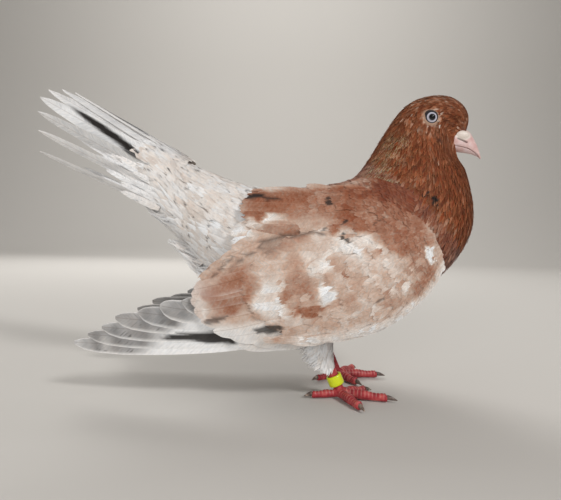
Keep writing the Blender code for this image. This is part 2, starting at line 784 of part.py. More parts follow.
def make_foot(name, side, finishes):
    heel, base = leg_place(name, side)
    down = (base - heel).normalized()
    headings = FEET[name][1]
    toes = []
    for (toe, length, claw), heading in zip(TOES, headings):
        turn = math.radians(heading)
        ahead = Vector((math.cos(turn), side * math.sin(turn), 0))
        rings = toe_rings(base, ahead, length, HIND_SLIM if toe == "hind" else 1.0)
        toes.append(loft("toe", rings))
        tip = base + ahead * (length * (1 - 0.06 / SCUTES) + GAP)
        tip.z = CLAW_ROOT_HIGH
        make_claw(f"claw_{name}_{toe}", tip, ahead, claw, finishes["claw"])
    shank = []
    for t in (0.0, 0.3, 0.6, 1.0):
        middle = heel + down * GAP + (base - heel) * t
        shank.append(tube_ring(middle, down, (0, 1, 0), SHANK_RADIUS, SHANK_RADIUS, 10))
    foot = loft("foot_" + name, shank, finishes["foot"])
    toes.append(ball("pad", (base.x, base.y, PAD_HIGH), PAD_RADII, 10, 6))
    combine(foot, toes)


def make_leg_ring(finish):
    heel, base = leg_place("right", SIDES["right"])
    down = (base - heel).normalized()
    middle = heel + (base - heel) * RING_ALONG
    rings = []
    bore = SHANK_RADIUS + GAP
    for radius, end in ((RING_RADIUS, -1), (RING_RADIUS, 1), (bore, 1), (bore, -1)):
        centre = middle + down * end * RING_HEIGHT / 2
        rings.append(tube_ring(centre, down, (0, 1, 0), radius, radius, 20))
    points = [p for ring in rings for p in ring]
    faces = []
    for i in range(4):
        for j in range(20):
            a, b = i * 20 + j, i * 20 + (j + 1) % 20
            c, d = ((i + 1) % 4) * 20 + (j + 1) % 20, ((i + 1) % 4) * 20 + j
            faces.append((a, b, c, d))
    add_object("leg_ring", points, faces, finish)


def main():
    clear_scene()
    finishes = {
        "head": material("head_feathers", (0.30, 0.13, 0.08), 0.8),
        "neck": material("neck_feathers", (0.23, 0.08, 0.05), 0.6),
        "breast": material("breast_feathers", (0.35, 0.14, 0.09), 0.8),
        "wing": material("wing_feathers", (0.55, 0.35, 0.27), 0.8),
        "tail": material("tail_feathers", (0.75, 0.72, 0.69), 0.8),
        "leg": material("leg_feathers", (0.80, 0.76, 0.73), 0.9),
        "foot": material("foot_skin", (0.50, 0.05, 0.08), 0.5),
        "claw": material("claw_horn", (0.12, 0.09, 0.08), 0.4),
        "bill": material("bill_horn", (0.72, 0.45, 0.38), 0.4),
        "eye": material("eye_surface", (0.70, 0.70, 0.75), 0.1),
        "ring": material("ring_plastic", (0.65, 0.75, 0.05), 0.35),
    }
    make_body(finishes)
    make_tail(finishes["tail"])
    for name, side in SIDES.items():
        make_wing(name, side, finishes["wing"])
        make_leg(name, side, finishes["leg"])
        make_foot(name, side, finishes)
    make_leg_ring(finishes["ring"])


main()
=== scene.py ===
# %% [markdown]
# # An oriental roller pigeon, feather by feather
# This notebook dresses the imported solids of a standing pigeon. The solids stay as a fixed frame,
# and each of them is hidden by the finer piece that stands for it. A bird is mostly feathers, so
# most cells below shape one kind of feather and lay many of it, each in its own place.

# %% Load the frame
import json
import math

import bmesh
import bpy
import numpy as np
from mathutils import Matrix, Vector

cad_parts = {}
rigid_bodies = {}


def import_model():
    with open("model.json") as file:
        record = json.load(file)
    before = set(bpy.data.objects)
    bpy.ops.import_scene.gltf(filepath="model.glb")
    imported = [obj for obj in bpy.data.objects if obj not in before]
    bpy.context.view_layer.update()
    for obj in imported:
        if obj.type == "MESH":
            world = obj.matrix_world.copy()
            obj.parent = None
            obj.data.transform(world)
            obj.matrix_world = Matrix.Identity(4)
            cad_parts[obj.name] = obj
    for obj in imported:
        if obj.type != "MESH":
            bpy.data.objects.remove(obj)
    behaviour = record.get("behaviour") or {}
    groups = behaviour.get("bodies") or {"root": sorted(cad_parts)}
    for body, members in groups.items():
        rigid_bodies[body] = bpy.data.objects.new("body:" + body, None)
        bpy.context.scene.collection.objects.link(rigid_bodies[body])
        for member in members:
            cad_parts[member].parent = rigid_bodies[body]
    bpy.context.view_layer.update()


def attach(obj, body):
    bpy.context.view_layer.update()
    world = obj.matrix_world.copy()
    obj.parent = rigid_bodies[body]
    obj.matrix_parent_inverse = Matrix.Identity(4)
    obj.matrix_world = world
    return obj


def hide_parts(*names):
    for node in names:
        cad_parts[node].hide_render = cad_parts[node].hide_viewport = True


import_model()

MM = 0.001
SEED = 7
rng = np.random.default_rng(SEED)

# %% [markdown]
# ## Small helpers
# Colours are written as hex values, as a colour picker shows them, and turned linear here. Every
# material is made of nodes, and one small function adds a node with its settings and its links.

# %% Colour and node helpers
def linear(code, alpha=1.0):
    """A linear colour from an sRGB hex code."""
    parts = [int(code[i : i + 2], 16) / 255 for i in (1, 3, 5)]
    return tuple(c / 12.92 if c <= 0.04045 else ((c + 0.055) / 1.055) ** 2.4 for c in parts) + (alpha,)


MATH, MIX, NOISE = "ShaderNodeMath", "ShaderNodeMix", "ShaderNodeTexNoise"
RAMP, ATTRIBUTE = "ShaderNodeValToRGB", "ShaderNodeAttribute"


def put(tree, kind, settings=None, links=None):
    """Adds one node. Settings name its properties or its sockets. Links join other nodes to it, by
    their first output, or by the socket that is given."""
    made = tree.nodes.new(kind)
    for key, value in (settings or {}).items():
        if isinstance(key, str) and hasattr(made, key):
            setattr(made, key, value)
        else:
            made.inputs[key].default_value = value
    for key, source in (links or {}).items():
        tree.links.new(getattr(source, "outputs", [source])[0], made.inputs[key])
    return made


def ramp(node, stops):
    """Fills a colour ramp with (place, hex colour) stops."""
    band = node.color_ramp
    while len(band.elements) > 1:
        band.elements.remove(band.elements[-1])
    band.elements[0].position, band.elements[0].color = stops[0][0], linear(stops[0][1])
    for place, code in stops[1:]:
        band.elements.new(place).color = linear(code)


def new_material(name, **values):
    """A material whose shader has these values on its own sockets."""
    made = bpy.data.materials.new(name)
    made.use_nodes = True
    shader = made.node_tree.nodes["Principled BSDF"]
    for key, value in values.items():
        shader.inputs[key.replace("_", " ")].default_value = value
    return made, made.node_tree, shader


print("mid grey in linear light:", round(linear("#808080")[0], 3))

# %% [markdown]
# ## The view
# The camera stands where the photograph was taken: beside the bird's right side, a little below the
# height of its back, a third of a metre away. It leans by 1.6 degrees, as the hand-held one did.

# %% Camera
CAMERA_PLACE = (0.0135, -0.325, 0.099)
CAMERA_ROLL, CAMERA_DIP = math.radians(1.6), math.radians(1.2)
# The photo's width and the focal length in its pixels, and the width of the sensor in millimetres.
PHOTO_WIDTH, FOCAL_PIXELS, SENSOR_WIDTH = 561, 478, 36
ahead = Vector((0, math.cos(CAMERA_DIP), -math.sin(CAMERA_DIP)))
level = Vector((1, 0, 0))
upright = level.cross(ahead)
right_hand = level * math.cos(CAMERA_ROLL) + upright * math.sin(CAMERA_ROLL)
overhead = upright * math.cos(CAMERA_ROLL) - level * math.sin(CAMERA_ROLL)
camera = bpy.data.objects.new("camera", bpy.data.cameras.new("camera"))
bpy.context.scene.collection.objects.link(camera)
view_axes = Matrix((right_hand, overhead, -ahead)).transposed()
camera.matrix_world = Matrix.Translation(CAMERA_PLACE) @ view_axes.to_4x4()
camera.data.sensor_width = SENSOR_WIDTH
camera.data.lens = FOCAL_PIXELS / PHOTO_WIDTH * SENSOR_WIDTH
camera.data.clip_start = 0.01
bpy.context.scene.camera = camera
print("lens in mm:", round(camera.data.lens, 1))

# %% [markdown]
# ## Floor and light
# A roll of pale card lies under the bird and sweeps up far behind it, so there is no hard horizon.
# One lamp shines from the camera's right, a second one fills the shadows from its left, and two more
# light the bird from behind and the card.

# %% Floor
# All in metres: where the card starts, bends up and ends, its half width, and how far it lies below 0.
CARD_FRONT, CARD_BEND, CARD_RADIUS, CARD_TOP, CARD_SIDE, CARD_BELOW = -20.0, 2.0, 1.5, 6.0, 8, 0.0005
SWEEP = [(CARD_FRONT, 0.0), (CARD_BEND, 0.0)] + [
    (CARD_BEND + CARD_RADIUS * math.sin(a), CARD_RADIUS - CARD_RADIUS * math.cos(a))
    for a in np.linspace(0.1, math.pi / 2, 14)
] + [(CARD_BEND + CARD_RADIUS, CARD_TOP)]
card = bpy.data.meshes.new("floor")
card.from_pydata(
    [(x, y, z - CARD_BELOW) for y, z in SWEEP for x in (-CARD_SIDE, CARD_SIDE)],
    [],
    [(2 * i, 2 * i + 1, 2 * i + 3, 2 * i + 2) for i in range(len(SWEEP) - 1)],
)
card.shade_smooth()
floor = bpy.data.objects.new("floor", card)
bpy.context.scene.collection.objects.link(floor)
paper, _, paper_shader = new_material("matt_card", Roughness=0.9)
paper_shader.inputs["Base Color"].default_value = linear("#c8c4be")
floor.data.materials.append(paper)
print("floor:", len(card.polygons), "strips of card")

# %% Light
ROOM_LIGHT = 0.34
world = bpy.data.worlds.new("studio")
bpy.context.scene.world = world
world.use_nodes = True
world.node_tree.nodes["Background"].inputs["Color"].default_value = linear("#e6e4e2")
world.node_tree.nodes["Background"].inputs["Strength"].default_value = ROOM_LIGHT
LAMPS = (  # place, what it points at, size in metres, power in watts
    ((0.97, -1.10, 1.18), (0.05, 0, 0.1), 0.3, 15.5),
    ((-0.7, -2.2, 0.5), (0.0, 0, 0.08), 0.9, 24.5),
    ((-0.5, 1.3, 1.3), (0, 0, 0.1), 0.9, 15.0),
    ((0, 1.4, 2.6), (0, 3.5, 1.1), 2.0, 46.0),
)
# Colours are shown straight, as the hex values name them.
bpy.context.scene.view_settings.view_transform = "Standard"
for number, (place, aim, size, power) in enumerate(LAMPS):
    title = f"softbox_{number}"
    lamp = bpy.data.objects.new(title, bpy.data.lights.new(title, "AREA"))
    lamp.data.size, lamp.data.energy = size, power
    lamp.location = place
    lamp.rotation_euler = (Vector(aim) - Vector(place)).to_track_quat("-Z", "Y").to_euler()
    # Only the first lamp shines in the eyes, as one small glint.
    lamp.visible_glossy = number == 0
    bpy.context.scene.collection.objects.link(lamp)
print(len(LAMPS), "lamps are in place")

# %% [markdown]
# ## The bird's form
# The same named stations as in the solids' source give the body: for each cross section the point on
# the back, the point on the front, and half the width, in millimetres. Here they are read by numpy,
# so that thousands of feathers can ask for their places on the body quickly.

# %% Stations of the body
BODY = (
    ((-50, 150), (-50, 93), 17),
    ((-24, 140), (-38, 77), 26),
    ((-2, 134), (-16, 60), 34),
    ((19, 133.5), (6, 46), 39),
    ((39, 136), (31, 38), 42),
    ((54, 139), (58, 40), 43.5),
    ((62, 143), (88, 53), 44),
    ((67, 149), (113.2, 69.8), 42),
    ((71, 155), (131.4, 89), 38),
    ((75, 162), (140.6, 106.4), 33),
    ((79.5, 170), (141.8, 122), 28.5),
    ((85, 179), (139.6, 135.2), 24),
    ((90, 186.5), (136.6, 146), 20),
    ((96, 192.5), (132.8, 153.8), 17),
    ((104, 197), (131.2, 157.8), 15.2),
    ((114, 199.3), (130.4, 159.8), 14.2),
    ((124, 198.7), (130.2, 161), 13),
    ((131.5, 194.8), (130.6, 162), 11.2),
    ((135.7, 189.5), (131.4, 162.8), 9.4),
    ((137.2, 184), (132.2, 163.6), 7.8),
    ((136.8, 179), (132.8, 164.6), 6.2),
)
TAIL_CORE = (
    ((-103, 176), (-107, 157), 6),
    ((-92, 171.5), (-97, 141), 12),
    ((-76, 164.3), (-80, 121), 18),
    ((-62, 157.8), (-64, 106.5), 19),
)
FLESH = np.array([(*back, *front, half) for back, front, half in TAIL_CORE + BODY], float)
RUMP = len(TAIL_CORE)
print("body sections:", len(FLESH))

# %% [markdown]
# The wing's face is given by sections too: the height of its widest place, how far out that is, and
# how far the curve runs on above and below it. Two lines mark the arm's lower and upper edge, from
# the shoulder back. The tail is an arch that rises to the rear and widens towards its tips.

# %% Stations of the wings and tail
WING_FACE = np.array(
    (
        (34, 40, 60, 90),
        (38, 44, 66, 90),
        (46, 48, 74, 90),
        (60, 51.5, 78, 90),
        (72, 53, 72, 80),
        (82, 50, 72, 62),
        (90, 36, 62, 48),
    ),
    float,
)
WING_FIRST, WING_STEP = -120, 40
ARM_LOW = np.array(((113, 86), (106, 74), (97, 64), (83, 52.5), (66, 45.5), (44, 41), (22, 39.5)), float)
ARM_HIGH = np.array(((112, 94), (103, 110), (90, 121), (72, 129), (52, 131), (32, 127), (16, 110)), float)
TAIL_ROOT, TAIL_RISE = (-50, 151.5), math.radians(29)
TAIL_LENGTHS = (72, 80, 88, 94, 95, 91.5, 87, 88, 96, 100, 101.5, 92, 82, 74)  # right to left
TAIL_ROOT_ARCH, TAIL_TIP_ARCH = (16, 46), (38, 54)
TAIL_FEATHERS, TAIL_SPREAD = len(TAIL_LENGTHS), 78
EYE_X, EYE_Z, EYE_RADIUS, EYE_OPENING = 108.4, 180.6, 6.0, 4.1
SIDES = {"right": -1, "left": 1}
print("wing rows:", len(WING_FACE), "tail feathers:", TAIL_FEATHERS)

# %% [markdown]
# Between the stations the form follows smooth curves. Each helper below turns a place on the body,
# the wing or the tail into a point in millimetres, lifted off the surface by as much as is asked.

# %% Curves
def spline(rows, t):
    """Catmull-Rom through rows of numbers, at one or many places t from 0 to the last row."""
    rows, t = np.asarray(rows, float), np.clip(np.asarray(t, float), 0, len(rows) - 1)
    i = np.minimum(t.astype(int), len(rows) - 2)
    u = (t - i)[..., None]
    a, b, c, d = (rows[np.clip(i + k, 0, len(rows) - 1)] for k in (-1, 0, 1, 2))
    return 0.5 * (2 * b + (c - a) * u + (2 * a - 5 * b + 4 * c - d) * u**2 + (3 * b - a - 3 * c + d) * u**3)


def on_line(rows, share):
    """A point of a line of rows, at a share of its length."""
    return spline(rows, share * (len(rows) - 1))


def between(pair, share):
    return pair[0] + (pair[1] - pair[0]) * share


def ease(value, low, high):
    """A smooth step from 0 at low to 1 at high."""
    share = np.clip((value - low) / (high - low), 0, 1)
    return share * share * (3 - 2 * share)


print("halfway up a smooth step:", float(ease(0.5, 0, 1)))

# %% Places on the body
def face_width(x, z):
    """The face narrows from the eyes to the root of the bill."""
    return 1 - 0.5 * ease(x, 112, 129) * ease(z, 147, 160) * (1 - ease(z, 174, 187))


def body_point(t, turn, lift):
    """Points on the body's sections. turn is 0 on the back, and lift stands off the surface."""
    row = spline(FLESH, t)
    up = (row[..., 0:2] - row[..., 2:4]) / 2
    reach = np.hypot(up[..., 0], up[..., 1])
    up = up / reach[..., None]
    high = (reach + lift) * np.cos(turn)
    middle = (row[..., 0:2] + row[..., 2:4]) / 2 + up * high[..., None]
    wide = (row[..., 4] + lift) * np.sin(turn) * face_width(middle[..., 0], middle[..., 1])
    return np.stack([middle[..., 0], wide, middle[..., 1]], -1)


print("top of the rump in mm:", [round(float(c), 1) for c in body_point(np.array(float(RUMP)), 0.0, 0.0)])

# %% Places on the wing
def wing_face(x, z):
    """How far out the wing's face lies at (x, z)."""
    row = spline(WING_FACE, (x - WING_FIRST) / WING_STEP)
    widest, half, above, below = (row[..., k] for k in range(4))
    off = (z - widest) / np.where(z > widest, above, below)
    return half * np.sqrt(np.maximum(0.02, 1 - off**2))


def wing_point(x, z, lift):
    """Points lifted square off the left wing's outer face, which the right wing mirrors."""
    face, step = wing_face(x, z), 0.5
    slope_x = (wing_face(x + step, z) - wing_face(x - step, z)) / (2 * step)
    slope_z = (wing_face(x, z + step) - wing_face(x, z - step)) / (2 * step)
    steep = np.sqrt(1 + slope_x**2 + slope_z**2)
    return np.stack([x - lift * slope_x / steep, face + lift / steep, z - lift * slope_z / steep], -1)


print("the wing's widest place in mm:", round(float(WING_FACE[:, 1].max()), 1))

# %% Places on the tail
def tail_point(along, turn, share, across, lift):
    """Points on the tail's arch, moved across it and lifted square off it."""
    wide, drop = (between(pair, share) for pair in zip(TAIL_ROOT_ARCH, TAIL_TIP_ARCH))
    up_x, up_z = math.sin(TAIL_RISE), math.cos(TAIL_RISE)
    down = drop * (1 - np.cos(turn))
    x = TAIL_ROOT[0] - along * up_z - down * up_x
    z = TAIL_ROOT[1] + along * up_x - down * up_z
    run_y, run_down = wide * np.cos(turn), drop * np.sin(turn)
    size = np.hypot(run_y, run_down)
    run_y, run_down = run_y / size, run_down / size
    y = wide * np.sin(turn) + run_y * across + run_down * lift
    fall = run_down * across - run_y * lift
    return np.stack([x - fall * up_x, y, z - fall * up_z], -1)


print("the tail rises by", round(math.degrees(TAIL_RISE)), "degrees")

# %% [markdown]
# ## Pigments
# A pigeon's colours come from two melanins. The brown one gives the red, chestnut and pink-brown
# tones, the black one gives the flecks and bars, and where both are missing the feather is white.
# So each point of the plumage gets a share of brown, of black and of painted sheen from rules about
# its place. The painted sheen is the neck's green shine, painted into the colour. Skin and feathers ask
# the same rules, so both carry the same markings.

# %% Noise
# Big whole numbers that scramble the place of a cell into a value that looks random.
SCRAMBLE_X, SCRAMBLE_Y, SCRAMBLE_Z, SCRAMBLE_SEED = 73856093, 19349663, 83492791, 40503
SCRAMBLE_TIMES, SCRAMBLE_PLUS = 1103515245, 12345


def noise(points, size, seed):
    """Smooth random values from 0 to 1, with lumps of this size in millimetres."""
    q = points / size + seed * 3.7
    cell = np.floor(q).astype(np.int64)
    f = q - cell
    f = f * f * (3 - 2 * f)
    total = np.zeros(len(points))
    for corner in np.ndindex(2, 2, 2):
        at = cell + np.array(corner)
        mixed = (at[:, 0] * SCRAMBLE_X) ^ (at[:, 1] * SCRAMBLE_Y) ^ (at[:, 2] * SCRAMBLE_Z)
        mixed = mixed ^ (seed * SCRAMBLE_SEED)
        mixed = ((mixed & 0xFFFFFF) * SCRAMBLE_TIMES + SCRAMBLE_PLUS) & 0x7FFFFFFF
        value = ((mixed >> 9) & 0xFFFF) / 65535
        total += value * np.prod(np.where(corner, f, 1 - f), axis=1)
    return total


def patch(x, z, mark):
    """How strongly a soft oval mark covers each point."""
    (mark_x, mark_z), (long, high), tilt = mark
    c, s = math.cos(math.radians(tilt)), math.sin(math.radians(tilt))
    a, b = (x - mark_x) * c + (z - mark_z) * s, (z - mark_z) * c - (x - mark_x) * s
    return 1 - ease(np.hypot(a / long, b / high), 0.6, 1.25)


def darken(black, x, z, marks, low, high):
    """Black from small marks, whose edges run from low to high cover."""
    for mark, tone in marks:
        black = np.maximum(black, tone * ease(patch(x, z, mark), low, high))
    return black


print("noise at the origin:", round(float(noise(np.zeros((1, 3)), 5, 1)[0]), 3))

# %% [markdown]
# The wing's pattern is a list of soft oval marks. Each has its middle (x, z), its half sizes and its
# tilt, and then the share of brown or of black that it gives. A later mark covers an earlier one.
# Three of the dark marks are painted shade along the tertials' lower edge, not pattern.

# %% Marks on the wing
WING_TONES = (
    (((62, 121), (50, 16), 4), 0.8),  # shoulder and mantle
    (((38, 122), (25, 7), 4), 0.64),
    (((86, 128), (22, 11), -35), 0.94),
    (((8, 118), (26, 12), 0), 0.62),  # scapulars
    (((78, 107), (28, 15), -20), 0.62),
    (((98, 80), (12, 14), -50), 0.55),
    (((4, 109.5), (17, 3.0), 8), 0.1),  # pale band below the scapulars
    (((-2, 134), (22, 4.5), 0), 0.16),  # pale top of the back
    (((-13, 104), (11, 4.5), 35), 0.12),  # pale flank below the scapulars
    (((15, 99), (36, 7), 30), 0.47),  # long tertials
    (((12, 106), (17, 4), 6), 0.38),
    (((-4, 89), (20, 9), 36), 0.46),
    (((40, 100), (12, 5), 8), 0.24),
    (((24, 74), (7, 19), 18), 0.47),  # brown barbs in the middle of the shield
    (((-15, 67.5), (17, 12), 12), 0.58),  # brown end of the secondaries
    (((8, 63), (9, 11), 0), 0.14),
    (((36, 92), (10, 15), -20), 0.22),
    (((57, 97), (13, 9), 15), 0.2),
    (((74, 78), (19, 15), 20), 0.3),
    (((29, 57.5), (13, 2.6), 20), 0.7),  # dark red-brown strip
    (((25, 49), (24, 5.5), 6), 0.36),
    (((42, 67.5), (6.5, 5), 30), 0.02),  # white patches
    (((102.5, 92.8), (4.5, 4), -40), 0.02),
    (((-34, 60), (4, 9), 0), 0.2),
)
WING_DARKS_AND_SHADE = (
    (((-3, 126.3), (9, 1.8), 4), 0.95),
    (((9, 124.6), (5.5, 1.3), 12), 0.8),
    (((41, 122.7), (2.6, 1.9), 0), 0.9),
    (((50.1, 110.4), (2.4, 1.0), 40), 0.85),
    (((51, 101), (1.4, 4), 25), 0.85),
    (((38, 104), (1, 3), -30), 0.7),
    (((70, 112), (4.5, 0.6), 35), 0.6),
    (((7.4, 94.8), (9, 3.4), 34), 0.3),
    (((7.6, 46.8), (8.5, 2.2), 6), 0.88),
    (((72, 67), (4, 0.9), 25), 0.6),
    (((-24, 51.5), (7, 2.4), 18), 0.7),
    # Painted shade: three dark lines along the tertials' lower edge, where their crease shades the feathers
    # below.
    (((17, 101.2), (21, 1.2), 12), 0.62),
    (((-6, 89), (14, 1.2), 40), 0.6),
    (((-19, 83), (11, 1.0), 45), 0.5),
    (((2, 116.4), (10, 0.7), -3), 0.5),
)
WING_BROWN = 0.35
print("marks on the wing:", len(WING_TONES) + len(WING_DARKS_AND_SHADE))

# %% Pigments of the wing
def lower_edge(x):
    """The height of the arm's lower edge."""
    return np.interp(x, ARM_LOW[::-1, 0], ARM_LOW[::-1, 1])


def wing_pigment(points):
    x, z = points[:, 0], points[:, 2]
    brown = np.full(len(points), WING_BROWN)
    # The marks have uneven edges, as each feather ends its own colour a little earlier or later.
    loose_x, loose_z = x + (noise(points, 6, 40) - 0.5) * 9, z + (noise(points, 6, 41) - 0.5) * 7
    for mark, tone in WING_TONES:
        cover = patch(loose_x, loose_z, mark)
        brown = brown * (1 - cover) + tone * cover
    lower = 1 - ease(z + 0.35 * x, 118, 138)
    coarse, fine = noise(points, 8, 3) - 0.5, noise(points, 3.4, 5) - 0.5
    brown += coarse * (0.1 + 0.1 * lower) + fine * (0.08 + 0.08 * lower)
    # The wing's front rim is white.
    rim = 1 - ease(z - lower_edge(x), 1.0, 9.0)
    brown = brown * (1 - rim * ease(x, 10, 30) * 0.68)
    # Black from the dark marks, three of which are painted shade along the tertials' crease.
    return brown, darken(0.04 * noise(points, 5, 8), x, z, WING_DARKS_AND_SHADE, 0.2, 0.75)


def primary_tone(points, s, a):
    """Primaries: white blades, a near black bar across them, and grey tips with dark strokes."""
    x, z = points[:, 0], points[:, 2]
    tip = ease(s, 0.6, 0.74)
    brown = 0.02 + 0.07 * tip * noise(points, 9, 12)
    black = 0.01 + tip * (0.46 + 0.36 * noise(points, 6, 13)) * (1 - 0.7 * ease(np.abs(a), 0.7, 1.0))
    level = z - np.interp(x, (-55, -31.5, -13.4), (38.7, 40.4, 41.3))
    thick = np.interp(x, (-57, -46, -31, -13), (0.4, 1.9, 3.0, 4.2))
    bar = ease(x, -59, -53) * (1 - ease(x, -12, -9)) * (1 - ease(np.abs(level), thick, thick + 0.7))
    comb = ease(s, 0.68, 0.74) * (1 - ease(s, 0.9, 0.96)) * ease(noise(points, 8, 14), 0.38, 0.5)
    strokes = comb * ease(np.abs(a), 0.1, 0.3) * (1 - ease(np.abs(a), 0.75, 0.95))
    return brown, np.maximum(black, 0.97 * bar), strokes


def flight_pigment(points):
    """Where the secondaries' lower ends show: lilac white with slate patches."""
    brown = 0.05 + 0.1 * noise(points, 9, 12)
    return brown, 0.1 + 0.14 * noise(points, 6, 15)


wing_middle = wing_pigment(np.array([[40.0, 50.0, 80.0]]))
print("brown and black in the middle of the wing:", [round(float(v[0]), 2) for v in wing_middle])

# %% Pigments of the tail
TAIL_DARKS = (
    (((-98, 163.6), (31, 2.6), -34), 1.0),
    (((-83.2, 151.6), (8.5, 2.1), -33), 0.9),
    (((-93, 178.2), (23, 2.6), -30), 0.66),
    (((-110, 170), (9, 0.9), -33), 0.6),
    (((-76, 146.5), (9, 0.8), -33), 0.55),
    (((-53.8, 117.5), (7.5, 2.2), -33), 0.92),
    (((-41, 109.5), (13, 0.9), -33), 0.7),
)


def tail_pigment(points):
    x, z = points[:, 0], points[:, 2]
    brown = 0.02 + 0.2 * noise(points, 9, 21) * ease(x, -78, -50)
    black = 0.02 + 0.16 * ease(noise(points * (0.25, 1, 1), 3, 22), 0.4, 0.9)
    for mark, tone in TAIL_DARKS:
        black = np.maximum(black, tone * patch(x, z, mark))
    flecks = ease(noise(points * (0.4, 1, 1), 1.9, 23), 0.8, 0.88) * ease(x, -90, -70)
    return brown, np.maximum(black, 0.7 * flecks)


print("marks on the tail:", len(TAIL_DARKS))

# %% Pigments of the body and the painted sheen of the neck
BODY_DARKS = (
    (((105.9, 125.9), (1.9, 3.2), 10), 1.0),
    (((99.8, 129.2), (1.0, 3.4), -25), 1.0),
    (((113, 165), (3.0, 2.2), 20), 0.5),
    (((72, 134), (7, 1.2), 10), 0.7),
)


def body_pigment(points):
    x, y, z = points[:, 0], points[:, 1], points[:, 2]
    head = ease(z + 0.35 * x, 200, 212)
    front = ease(x, 118, 140) * (1 - ease(z, 150, 175))
    brown = 0.11 + 0.65 * ease(x + 0.12 * z, 12, 42)
    brown = brown + (0.97 - brown) * ease(x * 0.75 + z * 0.66, 138, 172)
    brown = brown * (1 - 0.6 * (1 - ease(z + 0.3 * x, 58, 92)) * (1 - ease(x, 60, 110)))
    brown += (noise(points, 8, 1) - 0.5) * (0.12 + 0.1 * ease(x, 20, 60))
    black = 0.05 + 0.08 * front + 0.16 * head * noise(points, 9, 2)
    crown = np.clip(ease(z, 190, 199) + ease(x, 126, 134) * ease(z, 168, 180), 0, 1)
    black = black + 0.13 * crown
    black = np.where(x < 20, 0.02, black)
    brown = brown - (0.1 + 0.16 * crown) * head
    ring = np.hypot(x - EYE_X, z - EYE_Z)
    pale = (1 - ease(ring, 5.0, 8.0)) * ease(np.abs(y), 8, 11) * 0.45
    cheek = patch(x, z, ((106, 172), (12, 8), -20))
    pale = pale + 0.2 * ease(noise(points * (1, 1, 1.6), 3.2, 6), 0.5, 0.75) * cheek
    brown = brown - pale
    black = black * (1 - pale)
    flecks = ease(noise(points * (0.4, 1, 1), 2.2, 4), 0.8, 0.88) * (1 - ease(x, 0, 20))
    black = np.maximum(black, flecks * 0.8)
    # The right side alone has these marks, as the photo shows no other side.
    for mark, tone in BODY_DARKS:
        black = np.maximum(black, tone * ease(patch(x, z, mark), 0.25, 0.6) * (y < 0))
    return brown, black


def neck_painted_sheen(points):
    """Painted sheen: where the hackles shine green on the side of the nape, and a painted highlight in a
    bright crescent at its foot.
    """
    x, y, z = points[:, 0], np.abs(points[:, 1]), points[:, 2]
    nape = patch(x, z, ((79, 155), (20, 10), 52)) * 0.75
    crescent = patch(x, z, ((75, 137), (9, 2.6), -18))
    return np.clip(nape * ease(noise(points, 4, 31), 0.3, 0.6) + crescent, 0, 1) * ease(y, 4, 12)


print("marks on the body:", len(BODY_DARKS))

# %% [markdown]
# ## What a feather is made of
# Feathers are keratin, as horn is, but spun into barbs that lie side by side from the shaft. That
# gives a matt surface with a faint silky sheen along the barbs. The material mixes white keratin with
# the two melanins, draws the barbs as fine slanting lines, and lightens the worn rim. Real barbs
# stand about 0.25 mm apart, which is too fine to show here, so they are drawn 0.7 mm apart.

# %% Pigment mix
pigments = bpy.data.node_groups.new("melanin_pigments", "ShaderNodeTree")
pigments.interface.new_socket("Shares", in_out="INPUT", socket_type="NodeSocketColor")
pigments.interface.new_socket("Grain", in_out="INPUT", socket_type="NodeSocketFloat")
pigments.interface.new_socket("Colour", in_out="OUTPUT", socket_type="NodeSocketColor")
given = put(pigments, "NodeGroupInput")
shares = put(pigments, "ShaderNodeSeparateColor", None, {"Color": given.outputs["Shares"]})
speckle = put(pigments, MATH, {"operation": "SUBTRACT", 1: 0.5}, {0: given.outputs["Grain"]})
reach = put(pigments, MATH, {"operation": "MULTIPLY_ADD", 1: 0.45, 2: 0.1}, {0: shares})
brown_sum = put(pigments, MATH, {"operation": "MULTIPLY_ADD"}, {0: speckle, 1: reach, 2: shares})
brown_tone = put(pigments, RAMP, None, {"Fac": brown_sum})
ramp(
    brown_tone,
    (
        (0.0, "#e6e7e8"),
        (0.14, "#dbd2ca"),
        (0.34, "#bea493"),
        (0.6, "#9c6e57"),
        (0.8, "#834a30"),
        (1.0, "#6c3018"),
    ),
)
black_tone = put(
    pigments, MIX, {"data_type": "RGBA", 7: linear("#25211f")}, {0: shares.outputs[1], 6: brown_tone}
)
# Painted sheen: the green and cream shine of thin layers in the barbs, with a little purple, is painted into
# the colour.
painted_sheen_ramp = put(pigments, RAMP, None, {"Fac": given.outputs["Grain"]})
ramp(painted_sheen_ramp, ((0.2, "#4f5b34"), (0.42, "#8d9668"), (0.6, "#d9d2b0"), (0.8, "#77688c")))
painted_sheen_mix = put(
    pigments,
    MIX,
    {"data_type": "RGBA"},
    {0: shares.outputs[2], 6: black_tone.outputs[2], 7: painted_sheen_ramp},
)
put(pigments, "NodeGroupOutput", None, {0: painted_sheen_mix.outputs[2]})
print("nodes in the pigment mix:", len(pigments.nodes))

# %% [markdown]
# The barbs are drawn from each point's place on its own vane, in millimetres. The lines slant from
# the shaft towards the tip and waver a little, and a noise stretched along them gives the grooves.

# %% Barbs
# In millimetres: between barbs, and from the shaft's middle to its side. Then the slope of the barbs.
BARB_SPACING, SHAFT_HALF, BARB_SLANT = 0.7, 0.22, -1.1
BARB_RELIEF = 0.00012  # metres


